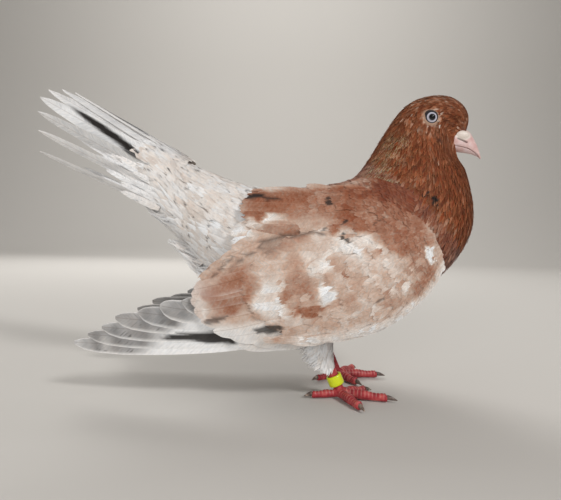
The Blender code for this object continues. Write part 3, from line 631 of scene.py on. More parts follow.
def barb_pattern(tree, vane, on_vane, side):
    """Barbs on a vane: their bent lines, the grooves between them, and a grain for the colour."""
    slant = put(
        tree, MATH, {"operation": "MULTIPLY_ADD", 1: BARB_SLANT}, {0: side, 2: on_vane.outputs[1]}
    )
    wobble = put(tree, NOISE, {"Scale": 0.6, "Detail": 3.0}, {"Vector": vane.outputs["Vector"]})
    bent = put(tree, MATH, {"operation": "MULTIPLY_ADD", 1: 1.6}, {0: wobble, 2: slant})
    phase = put(tree, MATH, {"operation": "MULTIPLY", 1: 1 / BARB_SPACING}, {0: bent})
    outward = put(tree, MATH, {"operation": "MULTIPLY", 1: 0.22}, {0: side})
    along_barb = put(tree, "ShaderNodeCombineXYZ", None, {0: phase, 1: outward, 2: on_vane.outputs[2]})
    barbs = put(tree, NOISE, {"Scale": 1.0, "Detail": 2.0, "Roughness": 0.6}, {"Vector": along_barb})
    mottle = put(tree, MATH, {"operation": "MULTIPLY_ADD", 1: 0.9, 2: -0.25}, {0: wobble})
    grain = put(tree, MATH, {"operation": "MULTIPLY_ADD", 1: 1.3}, {0: barbs, 2: mottle})
    return bent, barbs, put(tree, MATH, {"operation": "SUBTRACT", 1: 0.35}, {0: grain})


print("barbs in 10 mm:", round(10 / BARB_SPACING))

# %% Feather material
def feather_material(name, rim, rim_colour, spread, contrast, shaft_tone, barb_depth, combed=False, **values):
    """Keratin vanes. rim: how much the worn edge shows, spread: how unlike two feathers are, contrast:
    how much painted shade darkens the grooves between barbs. combed: the third pigment share draws dark
    strokes."""
    made, tree, shader = new_material(name, **values)
    share = put(tree, ATTRIBUTE, {"attribute_name": "pigment"})
    vane = put(tree, ATTRIBUTE, {"attribute_name": "vane"})
    lay = put(tree, ATTRIBUTE, {"attribute_name": "lay"})
    parts = put(tree, "ShaderNodeSeparateColor", None, {"Color": share.outputs["Color"]})
    on_vane = put(tree, "ShaderNodeSeparateXYZ", None, {0: vane.outputs["Vector"]})
    on_lay = put(tree, "ShaderNodeSeparateXYZ", None, {0: lay.outputs["Vector"]})
    side = put(tree, MATH, {"operation": "ABSOLUTE"}, {0: on_vane})
    bent, barbs, grain = barb_pattern(tree, vane, on_vane, side)
    edge = put(tree, MATH, {"operation": "ABSOLUTE"}, {0: on_lay})
    if combed:
        stroke_at = put(tree, MATH, {"operation": "MULTIPLY", 1: 0.75}, {0: bent})
        stroke_line = put(tree, "ShaderNodeCombineXYZ", None, {0: stroke_at, 2: on_vane.outputs[2]})
        strokes = put(tree, NOISE, {"Scale": 1.0, "Detail": 1.0}, {"Vector": stroke_line})
        dark = put(tree, "ShaderNodeMapRange", {1: 0.53, 2: 0.6, 3: 0.0, 4: 0.85}, {0: strokes})
        drawn = put(tree, MATH, {"operation": "MULTIPLY"}, {0: dark, 1: parts.outputs[2]})
        blacks = put(tree, MATH, {"operation": "MAXIMUM"}, {0: drawn, 1: parts.outputs[1]})
        mixed = put(tree, "ShaderNodeCombineColor", None, {0: parts, 1: blacks})
    else:
        # Painted sheen shows along the edges of the feathers, as fine lines.
        lined = put(tree, MATH, {"operation": "POWER", 1: 2.0}, {0: edge})
        painted_sheen_lines = put(tree, MATH, {"operation": "MULTIPLY"}, {0: lined, 1: parts.outputs[2]})
        mixed = put(tree, "ShaderNodeCombineColor", None, {0: parts, 1: parts.outputs[1], 2: painted_sheen_lines})
    colour = put(tree, "ShaderNodeGroup", {"node_tree": pigments}, {"Shares": mixed, "Grain": grain})
    edge_power = put(tree, MATH, {"operation": "POWER", 1: 4.0}, {0: edge})
    tip_power = put(tree, MATH, {"operation": "POWER", 1: 9.0}, {0: on_lay.outputs[1]})
    worn = put(tree, MATH, {"operation": "MAXIMUM"}, {0: edge_power, 1: tip_power})
    # Melanin makes keratin hard, so black parts wear least.
    soft_part = put(tree, MATH, {"operation": "MULTIPLY_ADD", 1: -rim, 2: rim}, {0: parts.outputs[1]})
    worn_share = put(tree, MATH, {"operation": "MULTIPLY"}, {0: worn, 1: soft_part})
    paled = put(tree, MIX, {"data_type": "RGBA", 7: linear(rim_colour)}, {0: worn_share, 6: colour})
    shaft = put(tree, MATH, {"operation": "LESS_THAN", 1: SHAFT_HALF}, {0: side})
    shaft_share = put(tree, MATH, {"operation": "MULTIPLY", 1: shaft_tone}, {0: shaft})
    shafted = put(
        tree,
        MIX,
        {"data_type": "RGBA", "blend_type": "MULTIPLY", 7: linear("#a08c80")},
        {0: shaft_share, 6: paled.outputs[2]},
    )
    # Each feather reflects a little more or less, and painted shade darkens the grooves between barbs.
    groove = put(
        tree, MATH, {"operation": "MULTIPLY_ADD", 1: contrast, 2: 0.97 - contrast / 2}, {0: barbs}
    )
    own = put(tree, MATH, {"operation": "MULTIPLY_ADD", 1: spread, 2: 1 - spread / 2}, {0: on_lay.outputs[2]})
    tone = put(tree, MATH, {"operation": "MULTIPLY"}, {0: groove, 1: own})
    toned = put(tree, "ShaderNodeVectorMath", {"operation": "SCALE"}, {0: shafted.outputs[2], "Scale": tone})
    tree.links.new(toned.outputs[0], shader.inputs["Base Color"])
    bump = put(tree, "ShaderNodeBump", {"Strength": barb_depth, "Distance": BARB_RELIEF}, {"Height": barbs})
    tree.links.new(bump.outputs[0], shader.inputs["Normal"])
    return made


# %% [markdown]
# Five kinds of feather share that one material, each with its own wear, contrast and gloss: streaked
# hackles on the neck, plain contour feathers, coverts, flight feathers with clear shafts, and matt
# down. The skin below them has the same pigments, a little darker, as if it lay in shadow.

# %% Five kinds of feather
FEATHER = {
    "IOR": 1.54, "Roughness": 0.7, "Sheen_Weight": 0.06, "Sheen_Roughness": 0.5, "Specular_IOR_Level": 0.22
}
# Hackles end in narrow tan points, so the neck and head look streaked.
HACKLE = {**FEATHER, "Sheen_Weight": 0.0, "Specular_IOR_Level": 0.12}
DOWN = {**FEATHER, "Roughness": 0.9, "Sheen_Weight": 0.3}
# Each kind: how much the rim shows and its colour, spread, contrast, shaft tone and depth of the barbs.
hackle_keratin = feather_material(
    "hackle_feather_keratin", 0.4, "#ae7d52", 0.6, 1.5, 0.0, 0.6, **HACKLE
)
contour_keratin = feather_material(
    "contour_feather_keratin", 0.08, "#e9dfd6", 0.14, 0.6, 0.1, 0.5, **FEATHER
)
covert_keratin = feather_material(
    "covert_feather_keratin", 0.06, "#e6d8cc", 0.08, 1.1, 0.15, 0.5, **FEATHER
)
flight_keratin = feather_material(
    "flight_feather_keratin", 0.5, "#e9e6e2", 0.16, 0.8, 0.3, 0.6, combed=True, **FEATHER
)
down_keratin = feather_material("downy_keratin", 0.3, "#ffffff", 0.05, 0.25, 0.0, 0.3, **DOWN)
print("feather materials:", len(bpy.data.materials) - 1)

# %% The skin's material
skin_bed, bed_tree, bed_shader = new_material("feather_base_keratin", Roughness=0.9, Sheen_Weight=0.2)
bed_share = put(bed_tree, ATTRIBUTE, {"attribute_name": "pigment"})
bed_noise = put(bed_tree, NOISE, {"Scale": 700.0, "Detail": 3.0})
bed_colour = put(
    bed_tree,
    "ShaderNodeGroup",
    {"node_tree": pigments},
    {"Shares": bed_share.outputs["Color"], "Grain": bed_noise},
)
bed_dim = put(
    bed_tree,
    MIX,
    {"data_type": "RGBA", "blend_type": "MULTIPLY", 0: 0.5, 7: linear("#b8aca6")},
    {6: bed_colour},
)
bed_tree.links.new(bed_dim.outputs[2], bed_shader.inputs["Base Color"])
print("nodes in the skin's material:", len(bed_tree.nodes))

# %% [markdown]
# ## Meshes from arrays
# A vane is a thin closed blade: a top sheet and an under sheet that share their rim. Thousands of
# them go into one mesh, so the points are gathered as arrays and written in one go. Each point also
# carries its place on its own vane for the barbs, and its pigments. The map OFBake gives each
# feather a small patch at its root's place on an unwrap of the skin.

# %% Faces of a vane
def vane_faces(rows, columns):
    """Faces of both sheets. The under sheet has its own inner points and the top sheet's rim."""
    top = np.arange(rows * columns).reshape(rows, columns)
    under = top.copy()
    inner = np.arange((rows - 2) * (columns - 2)).reshape(rows - 2, columns - 2)
    under[1:-1, 1:-1] = inner + rows * columns
    faces = []
    for sheet, order in ((top, (0, 1, 2, 3)), (under, (3, 2, 1, 0))):
        corners = (sheet[:-1, :-1], sheet[:-1, 1:], sheet[1:, 1:], sheet[1:, :-1])
        faces.append(np.stack([corners[k] for k in order], -1).reshape(-1, 4))
    return np.concatenate(faces)


def vane_grid(rows, columns):
    """The points of a vane: their share of its length, of its half width, and 1 on the under sheet."""
    lengthwise = 1 - (1 - np.linspace(0, 1, rows)) ** 1.25  # closer together near the tip
    s, a = np.meshgrid(lengthwise, np.linspace(-1, 1, columns), indexing="ij")
    inner = (slice(1, -1), slice(1, -1))
    shares = np.concatenate([s.ravel(), s[inner].ravel()])
    acrosses = np.concatenate([a.ravel(), a[inner].ravel()])
    below = np.concatenate([np.zeros(s.size), np.ones(s[inner].size)])
    return shares, acrosses, below, vane_faces(rows, columns)


print("a small vane has", 2 * len(vane_faces(6, 3)), "triangles")

# %% The vanes of a piece
VANES_APART = 50  # How far the barb patterns of two feathers may lie apart, so that none repeats.
PATCH_HALF, PATCH_LONG = 0.0014, 0.0028  # A feather's patch on the unwrap.


class Plumes:
    """The vanes of one piece, gathered and then made into one mesh."""

    def __init__(self, name, paint):
        self.name, self.paint = name, paint
        self.points, self.faces, self.uv = [], [], []
        self.vane, self.lay, self.shift, self.own = [], [], [], []
        self.size, self.vanes, self.grids = 0, 0, {}

    def add(
        self, place, length, half, outline, rows, columns, root_uv, thick=0.15, cup=0.05, skew=0.0,
        tone=None, torn=0.0,
    ):
        """One vane. place turns (share of length, mm across, mm of lift) into points, and cup is how much
        the vane arches. torn is how much shorter some clumps of barbs end than others."""
        if (rows, columns) not in self.grids:
            self.grids[rows, columns] = vane_grid(rows, columns)
        s, a, below, faces = self.grids[rows, columns]
        if torn:
            lane = np.rint((a + 1) * (columns - 1) / 2).astype(int)
            s = s * (1 - torn * rng.random(columns)[lane] * (1 - 0.6 * a**2))
        chance = rng.random()
        width = half * np.interp(s, outline[0], outline[1])
        across = a * width * (1 + skew * a)
        lift = cup * half * (1 - a**2) - thick * below * (1 - 0.5 * s)
        points = place(s, across, lift)
        first = points[faces[: rows - 1]]
        normal = np.cross(first[:, 1] - first[:, 0], first[:, 3] - first[:, 0]).sum(0)
        spot, none, one = np.array([0.3]), np.zeros(1), np.ones(1)
        out = place(spot, none, one) - place(spot, none, none)
        if normal @ out[0] < 0:
            faces = faces[:, ::-1]
        self.points.append(points)
        self.faces.append(faces + self.size)
        self.vane.append(np.stack([across, s * length, np.full(len(s), chance * VANES_APART)], -1))
        self.lay.append(np.stack([a, s, np.full(len(s), chance)], -1))
        self.uv.append(np.stack([root_uv[0] + a * PATCH_HALF, root_uv[1] + s * PATCH_LONG], -1))
        self.shift.append(np.tile(rng.normal(0, 1, 3), (len(s), 1)))
        plain = np.full((3, len(s)), np.nan)
        self.own.append(plain if tone is None else np.stack(tone(points, s, a)))
        self.size += len(s)
        self.vanes += 1

    def build(self, material):
        """One mesh of all the vanes. A vane's own tone goes before the paint of the piece."""
        points = np.concatenate(self.points)
        mesh = array_mesh(self.name, points * MM, np.concatenate(self.faces))
        shares = self.paint(points, np.concatenate(self.shift))
        own = np.concatenate(self.own, 1)
        paint_mesh(mesh, [np.where(np.isnan(mine), general, mine) for mine, general in zip(own, shares)])
        for name, values in (("vane", self.vane), ("lay", self.lay)):
            layer = mesh.attributes.new(name, "FLOAT_VECTOR", "POINT")
            layer.data.foreach_set("vector", np.concatenate(values).astype(np.float32).ravel())
        lay_uv(mesh, np.concatenate(self.uv))
        mesh.materials.append(material)
        print(f"{self.name}: {self.vanes} vanes, {2 * len(mesh.polygons)} triangles")
        return show(mesh)


print("a feather's patch on the map is", 2 * PATCH_HALF, "by", PATCH_LONG)

# %% [markdown]
# Large meshes are written from arrays, which is hundreds of times faster than point by point. The
# pigments and the map are layers of the mesh, and the last helper ties a piece to the bird.

# %% Meshes, layers and pieces
VANE_CREASE, SKIN_CREASE = math.radians(75), math.radians(50)


def array_mesh(name, points, faces):
    mesh = bpy.data.meshes.new(name)
    mesh.vertices.add(len(points))
    mesh.vertices.foreach_set("co", points.astype(np.float32).ravel())
    mesh.loops.add(faces.size)
    mesh.loops.foreach_set("vertex_index", faces.astype(np.int32).ravel())
    mesh.polygons.add(len(faces))
    mesh.polygons.foreach_set("loop_start", np.arange(0, faces.size, faces.shape[1], dtype=np.int32))
    mesh.update(calc_edges=True)
    mesh.shade_smooth()
    mesh.set_sharp_from_angle(angle=VANE_CREASE)
    return mesh


def paint_mesh(mesh, shares):
    # The third share is the neck's painted sheen; the flight feathers use it for their dark strokes.
    brown, black, gloss = (np.clip(values, 0, 1) for values in shares)
    colours = np.stack([brown, black, gloss, np.ones(len(brown))], -1)
    layer = mesh.attributes.new("pigment", "FLOAT_COLOR", "POINT")
    layer.data.foreach_set("color", colours.astype(np.float32).ravel())


def lay_uv(mesh, uv):
    corners = np.empty(len(mesh.loops), np.int32)
    mesh.loops.foreach_get("vertex_index", corners)
    layer = mesh.uv_layers.new(name="OFBake")
    layer.data.foreach_set("uv", np.clip(uv[corners], 0, 1).astype(np.float32).ravel())


def show(mesh):
    piece = bpy.data.objects.new(mesh.name, mesh)
    bpy.context.scene.collection.objects.link(piece)
    return piece


def keep(piece, slot, *nodes):
    """The piece rides with the bird and stands for these solids. slot is not used."""
    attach(piece, "root")
    if nodes:
        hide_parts(*nodes)


print("creases show above", round(math.degrees(VANE_CREASE)), "degrees on feathers")

# %% Outlines of the vanes
# Shares of the length, and the share of the full width there.
ROUND = ((0, 0.25, 0.55, 0.8, 0.93, 1.0), (0.5, 0.85, 1.0, 0.85, 0.55, 0.12))
POINTED = ((0, 0.3, 0.6, 0.85, 1.0), (0.6, 1.0, 0.85, 0.42, 0.06))
BLADE = ((0, 0.1, 0.35, 0.78, 0.9, 0.96, 1.0), (0.5, 0.85, 1.0, 1.0, 0.86, 0.62, 0.2))
TAIL_BLADE = ((0, 0.15, 0.4, 0.7, 0.86, 0.95, 1.0), (0.6, 0.95, 1.0, 0.84, 0.62, 0.36, 0.06))
WISP = ((0, 0.3, 0.7, 1.0), (0.7, 1.0, 0.6, 0.05))
SOFT = ((0, 0.2, 0.5, 0.7, 0.85, 0.95, 1.0), (0.5, 0.8, 1.0, 0.98, 0.84, 0.62, 0.42))
print("width of a soft feather's tip:", SOFT[1][-1])

# %% [markdown]
# ## The skin
# Under the coat lies one smooth skin over the tail's root, body, neck, head and legs. It is lofted
# through the same stations, sunk by the depth of the coat, so that the feather tips end where the
# solids do.

# %% Depth of the coat, and the legs
# How deep the coat is at places along the body.
COAT_DEPTH = ((0, 1.2), (3, 1.8), (12, 2.0), (16, 1.7), (19, 1.1), (22, 0.8), (24, 0.6))
# Rings of a feathered leg, from the thigh down: x, height, half length and half width.
LEG = (
    (36, 54, 12, 10),
    (38.5, 40, 11, 9),
    (40, 33, 10, 8.2),
    (42.5, 26, 8, 7),
    (45, 21, 6, 5.4),
    (46.4, 18.6, 4.4, 4.2),
)
LEG_COAT = 1.4
# The heel and the ball of the foot. Then for each foot its shift (forward, out) and its toes' headings.
HEEL, BALL = (47.6, 17.8), (53.5, 4.5)
FEET = {"right": ((0.0, 22.5), (12, -30, 68, 172)), "left": ((3.5, 22.0), (6, -56, 54, 214))}


def coat_depth(t):
    return np.interp(t, *zip(*COAT_DEPTH))


def round_turns(count):
    """Angles of the points of a ring."""
    return np.linspace(0, 2 * math.pi, count, endpoint=False)


def leg_ring(name, side, share, sunk, count=28):
    """One ring of a leg's feathered part, from the thigh down to the heel."""
    x, z, long, wide = on_line(LEG, share)
    lean, out = FEET[name][0]
    turn = round_turns(count)
    ring_x = x + lean + (long - sunk) * np.cos(turn)
    return np.stack([ring_x, side * out + (wide - sunk) * np.sin(turn), np.full(count, z)], -1)


def body_uv(t, turn):
    """The body's place on the unwrap, which is rolled off the back."""
    return 0.02 + 0.96 * (np.mod(turn, 2 * math.pi)) / (2 * math.pi), 0.02 + 0.72 * t / (len(FLESH) - 1)


def leg_uv(x, z, left):
    """A leg's place on the unwrap, above the body's."""
    return 0.25 + x / 400 + 0.3 * left, 0.78 + z / 400


print("the coat is", round(float(coat_depth(10.0)), 1), "mm deep on the back")

# %% Lofts
def loft(rings):
    """Points and faces of a closed skin through rings of equal size."""
    rings = np.asarray(rings, float)
    count, wide = rings.shape[:2]
    points = np.concatenate([rings.reshape(-1, 3), rings[:1].mean(1), rings[-1:].mean(1)])
    faces = []
    for i in range(count - 1):
        for j in range(wide):
            a, b = i * wide + j, i * wide + (j + 1) % wide
            faces.append((a, b, b + wide, a + wide))
    for j in range(wide):
        faces.append((count * wide, (j + 1) % wide, j))
        last = (count - 1) * wide
        faces.append((count * wide + 1, last + j, last + (j + 1) % wide))
    return points, faces


def tube_faces(rows, wide):
    """Faces of a closed band: each ring joins the next, and the last joins the first."""
    faces = []
    for i in range(rows):
        after = (i + 1) % rows
        for j in range(wide):
            k = (j + 1) % wide
            faces.append((i * wide + j, i * wide + k, after * wide + k, after * wide + j))
    return faces


def list_mesh(name, points, faces):
    """A mesh from lists, with its faces turned out."""
    mesh = bpy.data.meshes.new(name)
    mesh.from_pydata((np.asarray(points) * MM).tolist(), [], [tuple(map(int, face)) for face in faces])
    form = bmesh.new()
    form.from_mesh(mesh)
    bmesh.ops.recalc_face_normals(form, faces=form.faces)
    form.to_mesh(mesh)
    form.free()
    mesh.shade_smooth()
    mesh.set_sharp_from_angle(angle=SKIN_CREASE)
    return mesh


def gather(shapes):
    """Several closed shapes as one list of points and faces."""
    points, faces, size = [], [], 0
    for shape_points, shape_faces in shapes:
        points.append(shape_points)
        faces += [tuple(size + k for k in face) for face in shape_faces]
        size += len(shape_points)
    return np.concatenate(points), faces


print("faces of a closed band of 4 rings:", len(tube_faces(4, 12)))

# %% The skin's form
SKIN_TURNS, SKIN_RINGS, LEG_RINGS = 96, 190, 14
skin_t = np.linspace(0, len(FLESH) - 1, SKIN_RINGS)
turns = round_turns(SKIN_TURNS)
skin_shapes = [loft([body_point(np.full(SKIN_TURNS, t), turns, -coat_depth(t)) for t in skin_t])]
for name, side in SIDES.items():
    shares = np.linspace(0, 1, LEG_RINGS)
    skin_shapes.append(loft([leg_ring(name, side, share, LEG_COAT) for share in shares]))
skin_points, skin_faces = gather(skin_shapes)
skin_mesh = list_mesh("skin", skin_points, skin_faces)
print("skin:", len(skin_mesh.polygons), "faces")

# %% The skin's pigments and map
def paint_body(points, shift=0.0):
    """The body's pigments. shift moves and tints each feather's own, so that no two are alike."""
    points = points + shift * 0.8
    brown, black = body_pigment(points)
    if np.ndim(shift):
        streaked = ease(points[:, 0], 60, 90)
        # Pale tips on the neck and head: partly each feather's own tone, partly painted highlight for the
        # glints on the crown.
        pale_tips_and_painted_glints = np.clip(shift[:, 2] - 0.9, 0, 1) * (0.06 + 0.16 * ease(points[:, 2], 160, 176))
        brown = brown + shift[:, 0] * (0.03 + 0.09 * streaked) - pale_tips_and_painted_glints * streaked
        black = black + np.maximum(shift[:, 1], 0) * (0.02 + 0.12 * streaked)
    white = (points[:, 2] < 56) & (points[:, 0] < 60)
    return np.where(white, 0.04, brown), np.where(white, 0.02, black), neck_painted_sheen(points)


paint_mesh(skin_mesh, paint_body(skin_points))
uv = np.full((len(skin_points), 2), 0.01)
t_all, turn_all = np.meshgrid(skin_t, turns, indexing="ij")
uv[: t_all.size] = np.stack(body_uv(t_all.ravel(), turn_all.ravel()), -1)
on_legs = np.arange(len(skin_points)) >= len(skin_shapes[0][0])
leg_x, leg_y, leg_z = skin_points[on_legs].T
uv[on_legs] = np.stack(leg_uv(leg_x, leg_z, leg_y > 0), -1)
lay_uv(skin_mesh, uv)
skin_mesh.materials.append(skin_bed)
keep(show(skin_mesh), "body_feathers", "head", "neck", "torso", "tail", "leg_right", "leg_left")
print("the skin's map has", len(uv), "places,", int(on_legs.sum()), "of them on the legs")

# %% [markdown]
# ## The body's coat
# Contour feathers overlap like roof tiles, each row covering the roots of the one behind it, and all
# of them point from the bill to the tail. They are tiny on the face, long and pointed on the neck,
# and broad on the back. So rows run round the body, and each row asks a short table for its
# spacing, width and shape.

# %% Styles of the coat
# Place along the body, spacing of the rows, half width, length over spacing, and how pointed.
COAT_STYLE = np.array((
    (0, 4.4, 3.2, 2.7, 0.3),
    (4, 4.2, 2.9, 2.8, 0.3),
    (8, 4.2, 3.0, 2.8, 0.2),
    (10, 3.6, 2.5, 2.9, 0.3),
    (12, 2.9, 1.7, 3.2, 0.8),
    (14, 2.5, 1.25, 3.4, 1.0),
    (16, 2.1, 1.05, 3.4, 1.0),
    (18, 1.55, 0.85, 3.0, 0.8),
    (21, 1.25, 0.68, 2.7, 0.5),
    (24, 1.0, 0.55, 2.6, 0.3),
))
# The pieces of the coat, and where along the body each of them ends.
COAT_PIECES = {"coat_rump": 6.5, "coat_body": 12.5, "coat_neck": 17.5, "coat_head": len(FLESH)}
RUMP_STYLE_END, RUMP_FIRST, RUMP_SHORTEST = 7.5, 0.08, 4
# No feathers grow in front of this line, where the bill's root begins: heights, then places.
BILL_MARGIN = ((160.4, 161.5, 165, 170, 172.5, 176, 177), (150, 129.6, 128.4, 127, 128.4, 133, 150))


def coat_style(t):
    return [np.interp(t, COAT_STYLE[:, 0], COAT_STYLE[:, k]) for k in range(1, 5)]


def is_bare(x, y, z):
    """No feathers grow under the folded wings, round the eyes and in front of the bill's root."""
    high = np.interp(x, ARM_HIGH[::-1, 0], ARM_HIGH[::-1, 1])
    under_wing = 26 < x < 104 and abs(y) > 15 and lower_edge(x) + 9 < z < high - 10
    at_eye = math.hypot(x - EYE_X - 1.0, z - EYE_Z) < EYE_OPENING + 1.4 and abs(y) > 6
    return under_wing or at_eye or x > np.interp(z, *BILL_MARGIN)


print("half width of a feather on the crown in mm:", coat_style(23.0)[1])

# %% Placing a feather on the body
STEP = 0.02  # A short way along the body, to measure how long a section is.


def body_place(t, turn, length, yaw, root_lift, tip_lift):
    """A vane that lies on the body and points to the tail, turned by yaw."""
    step = STEP
    here = body_point(np.array([t, t - step, t]), np.array([turn, turn, turn + step]), 0.0)
    per_t = np.linalg.norm(here[1] - here[0]) / step
    per_turn = max(np.linalg.norm(here[2] - here[0]) / step, 1.0)
    c, s = math.cos(yaw), math.sin(yaw)

    def place(share, across, lift):
        along = share * length
        back, round_ = along * c - across * s, across * c + along * s
        rise = between((root_lift, tip_lift), share**0.6)
        return body_point(t - back / per_t, turn + round_ / per_turn, rise + lift)

    return place


def measure_row(t, sides=48):
    """The way round the body at t, and the way along it for each 1 of t, both in millimetres."""
    ring = body_point(np.full(sides, t), round_turns(sides), 0.0)
    ahead_ring = body_point(np.full(sides, t + STEP), round_turns(sides), 0.0)
    round_length = np.linalg.norm(ring - np.roll(ring, 1, axis=0), axis=1).sum()
    return round_length, np.linalg.norm(ahead_ring - ring, axis=1).mean() / STEP


print("way round the breast in mm:", round(measure_row(12.0)[0]))

# %% Grow the coat
coats = {name: Plumes(name, paint_body) for name in COAT_PIECES}
t, row = 0.15, 0
while t < len(FLESH) - 1.05:
    spacing, half, overlap, pointed = coat_style(t)
    round_length, per_t = measure_row(t)
    count = int(round_length / (half * 1.45))
    piece = next(coats[name] for name, end in COAT_PIECES.items() if t < end)
    for k in range(count):
        turn = 2 * math.pi * (k + 0.5 * (row % 2) + rng.uniform(-0.18, 0.18)) / count
        at = max(t + rng.uniform(-0.2, 0.2) * spacing / per_t, RUMP_FIRST)
        if is_bare(*body_point(np.array([at]), np.array([turn]), 0.0)[0]):
            continue
        length = spacing * overlap * rng.uniform(0.88, 1.15)
        wide = half * rng.uniform(0.88, 1.12)
        depth = float(coat_depth(at))
        outline = POINTED if rng.random() < pointed else ROUND
        loose = min(1.0, depth / 1.8)
        root_lift = -0.9 * depth * loose - 0.2
        if t < RUMP_STYLE_END:
            # The rump's feathers are long and loose, and their tips fray. None starts on the tail.
            length = min(length * 1.4, 0.8 * at * per_t)
            if length > RUMP_SHORTEST:
                yaw, tip_lift = rng.normal(0, 0.1), rng.uniform(-0.45, -0.1) * loose
                place = body_place(at, turn, length, yaw, root_lift, tip_lift)
                uv_at = body_uv(at, turn)
                piece.add(place, length, wide * 0.8, SOFT, 9, 5, uv_at, thick=0.12, cup=0.03, torn=0.3)
            continue
        yaw, tip_lift = rng.normal(0, 0.09), rng.uniform(-0.5, 0.0) * loose
        place = body_place(at, turn, length, yaw, root_lift, tip_lift)
        piece.add(place, length, wide, outline, 6, 3, body_uv(at, turn), cup=0.08)
    t += spacing / per_t
    row += 1
for name, slot, keratin in (
    ("coat_rump", "body_feathers", contour_keratin),
    ("coat_body", "body_feathers", contour_keratin),
    ("coat_neck", "neck_feathers", hackle_keratin),
    ("coat_head", "head_feathers", hackle_keratin),
):
    keep(coats[name].build(keratin), slot)

# %% [markdown]
# ## The wings
# A folded wing is layered: small coverts over the arm, rows of larger ones below them, then the
# secondaries, and last the primaries, whose tips cross low beside the tail. Each layer hides the
# roots of the next, so the long feathers are laid first and deepest, and the small ones on top.

# %% Tiers of long feathers
# Each tier: count, roots, tips, half widths, lifts, bow, sink, rows, columns, and the shaft's shift.
WING_TIERS = {
    "primaries": (
        8, ((24, 43), (14, 56), (6, 63)),
        ((-112, 32.5), (-103, 38), (-95, 44.5), (-85, 49.5), (-71, 54), (-57, 58.5), (-45, 62), (-33, 66)),
        (5.6, 7.4), (-6.6, -3.4), 3.0, 0, 44, 9, 0.2,
    ),
    "primary_coverts": (
        5, ((54, 46), (46, 55)), ((-8, 37.5), (-2, 50)), (4.6, 6.4), (-3.1, -2.3), 1.5, 0, 16, 5, 0.1,
    ),
    "secondaries": (
        9, ((44, 50), (26, 66), (30, 92)), ((6, 38.5), (-22, 44), (-37, 58), (-36, 68)),
        (6.2, 7.6), (-2.6, -0.6), 2.2, 0, 30, 9, 0.1,
    ),
    "tertials": (
        6, ((34, 90), (48, 108), (58, 116)), ((-34, 72), (-20, 88), (0, 104)),
        (6.6, 7.0), (-0.8, 0.2), -2.0, 1.0, 26, 7, 0.0,
    ),
    "greater_coverts": (
        11, ((60, 50), (44, 66), (42, 84), (54, 104)), ((22, 44), (2, 53), (-8, 64), (-8, 78), (12, 94)),
        (5.6, 6.2), (-1.0, 0.3), 1.0, 2.2, 16, 7, 0.0,
    ),
    "flank": (
        5, ((34, 102), (38, 110)), ((-16, 95), (-19, 101), (-12, 107)),
        (4.4, 4.8), (-0.9, -0.3), -2.5, 4.5, 20, 9, 0.0,
    ),
    "scapulars": (
        7, ((40, 106), (48, 114), (50, 124)), ((-4, 107.5), (-12.5, 113), (-13, 120), (-8, 126.5)),
        (6.4, 5.2), (0.4, 0.8), -1.0, 4.0, 18, 7, 0.0,
    ),
}
FLIGHT_TIERS = ("primaries", "secondaries", "primary_coverts")
print("long feathers in each wing:", sum(tier[0] for tier in WING_TIERS.values()))

# %% [markdown]
# The small coverts follow the wing's form: steep at the shoulder, then level along the arm. A short
# table gives their lie at some places, and a weighted mean of the nearest fills in the rest.

# %% Lie of the small coverts
# The lie of the small coverts: a place on the wing and how many degrees below level they point back.
COVERT_LIE = np.array(
    (
        (112, 84, 62), (102, 70, 50), (91, 58, 40), (75, 49, 22), (55, 43, 12), (33, 40, 4),
        (112, 92, 40), (104, 106, 10), (96, 90, 38), (80, 72, 34), (78, 92, 28), (60, 70, 26), (60, 55, 20),
        (40, 60, 18), (50, 100, 26), (24, 84, 30), (80, 118, 12), (70, 124, 6), (44, 126, 3), (10, 118, 2),
    ),
    float,
)


def covert_lie(x, z):
    gap = (COVERT_LIE[:, 0] - x) ** 2 + (COVERT_LIE[:, 1] - z) ** 2 + 30
    return math.radians((COVERT_LIE[:, 2] / gap**1.5).sum() / (1 / gap**1.5).sum())


print("lie in the middle of the wing in degrees:", round(math.degrees(covert_lie(50, 80))))

# %% Placing a feather on a wing
def wing_place(side, root, tip, bow, root_lift, tip_lift, sink):
    """A vane from root to tip on the wing's face. It droops by bow, and sink pulls its root in."""
    root, tip = np.asarray(root, float), np.asarray(tip, float)
    run = tip - root
    run /= np.linalg.norm(run)

    def place(share, across, lift):
        droop = bow * 4 * share * (1 - share)
        x = between((root[0], tip[0]), share) - run[1] * across
        z = between((root[1], tip[1]), share) + run[0] * across - droop
        rise = between((root_lift, tip_lift), share) - sink * np.maximum(0, 1 - share / 0.5) ** 2
        return wing_point(x, z, rise + lift) * (1, side, 1)

    return place


def wing_uv(side, x, z):
    """The wings' places on the unwrap, side by side."""
    return (0.25 if side < 0 else 0.75) + 0.2 * x / 120, 0.05 + 0.8 * z / 140


print("the right wing's shoulder on the map:", [round(v, 2) for v in wing_uv(-1, 112, 90)])

# %% Colours of the wing's feathers
def paint_wing(points, shift):
    points = points + shift * 0.9
    brown, black = wing_pigment(points)
    # Near the middle of the back the wing's colours give way to the body's.
    back_brown, back_black = body_pigment(points)
    share = 1 - ease(np.abs(points[:, 1]), 9, 24)
    brown, black = brown + (back_brown - brown) * share, black + (back_black - black) * share
    return brown + shift[:, 0] * 0.05, black + np.maximum(shift[:, 1] - 1, 0) * 0.1, np.zeros(len(points))


def paint_flight(points, shift):
    points = points + shift * (1.5, 0, 0.5)
    brown, black = flight_pigment(points)
    wing_brown, wing_black = wing_pigment(points)
    share = ease(points[:, 2] - 0.1 * points[:, 0], 47, 54)
    black = np.maximum(black * (1 - share), wing_black)
    return brown + (wing_brown - brown) * share, black, np.zeros(len(points))


print("tiers painted as flight feathers:", len(FLIGHT_TIERS))

# %% The wing's flesh
BED_OUTER, BED_INNER, BED_ROUNDING = -1.6, -7.0, 1.6


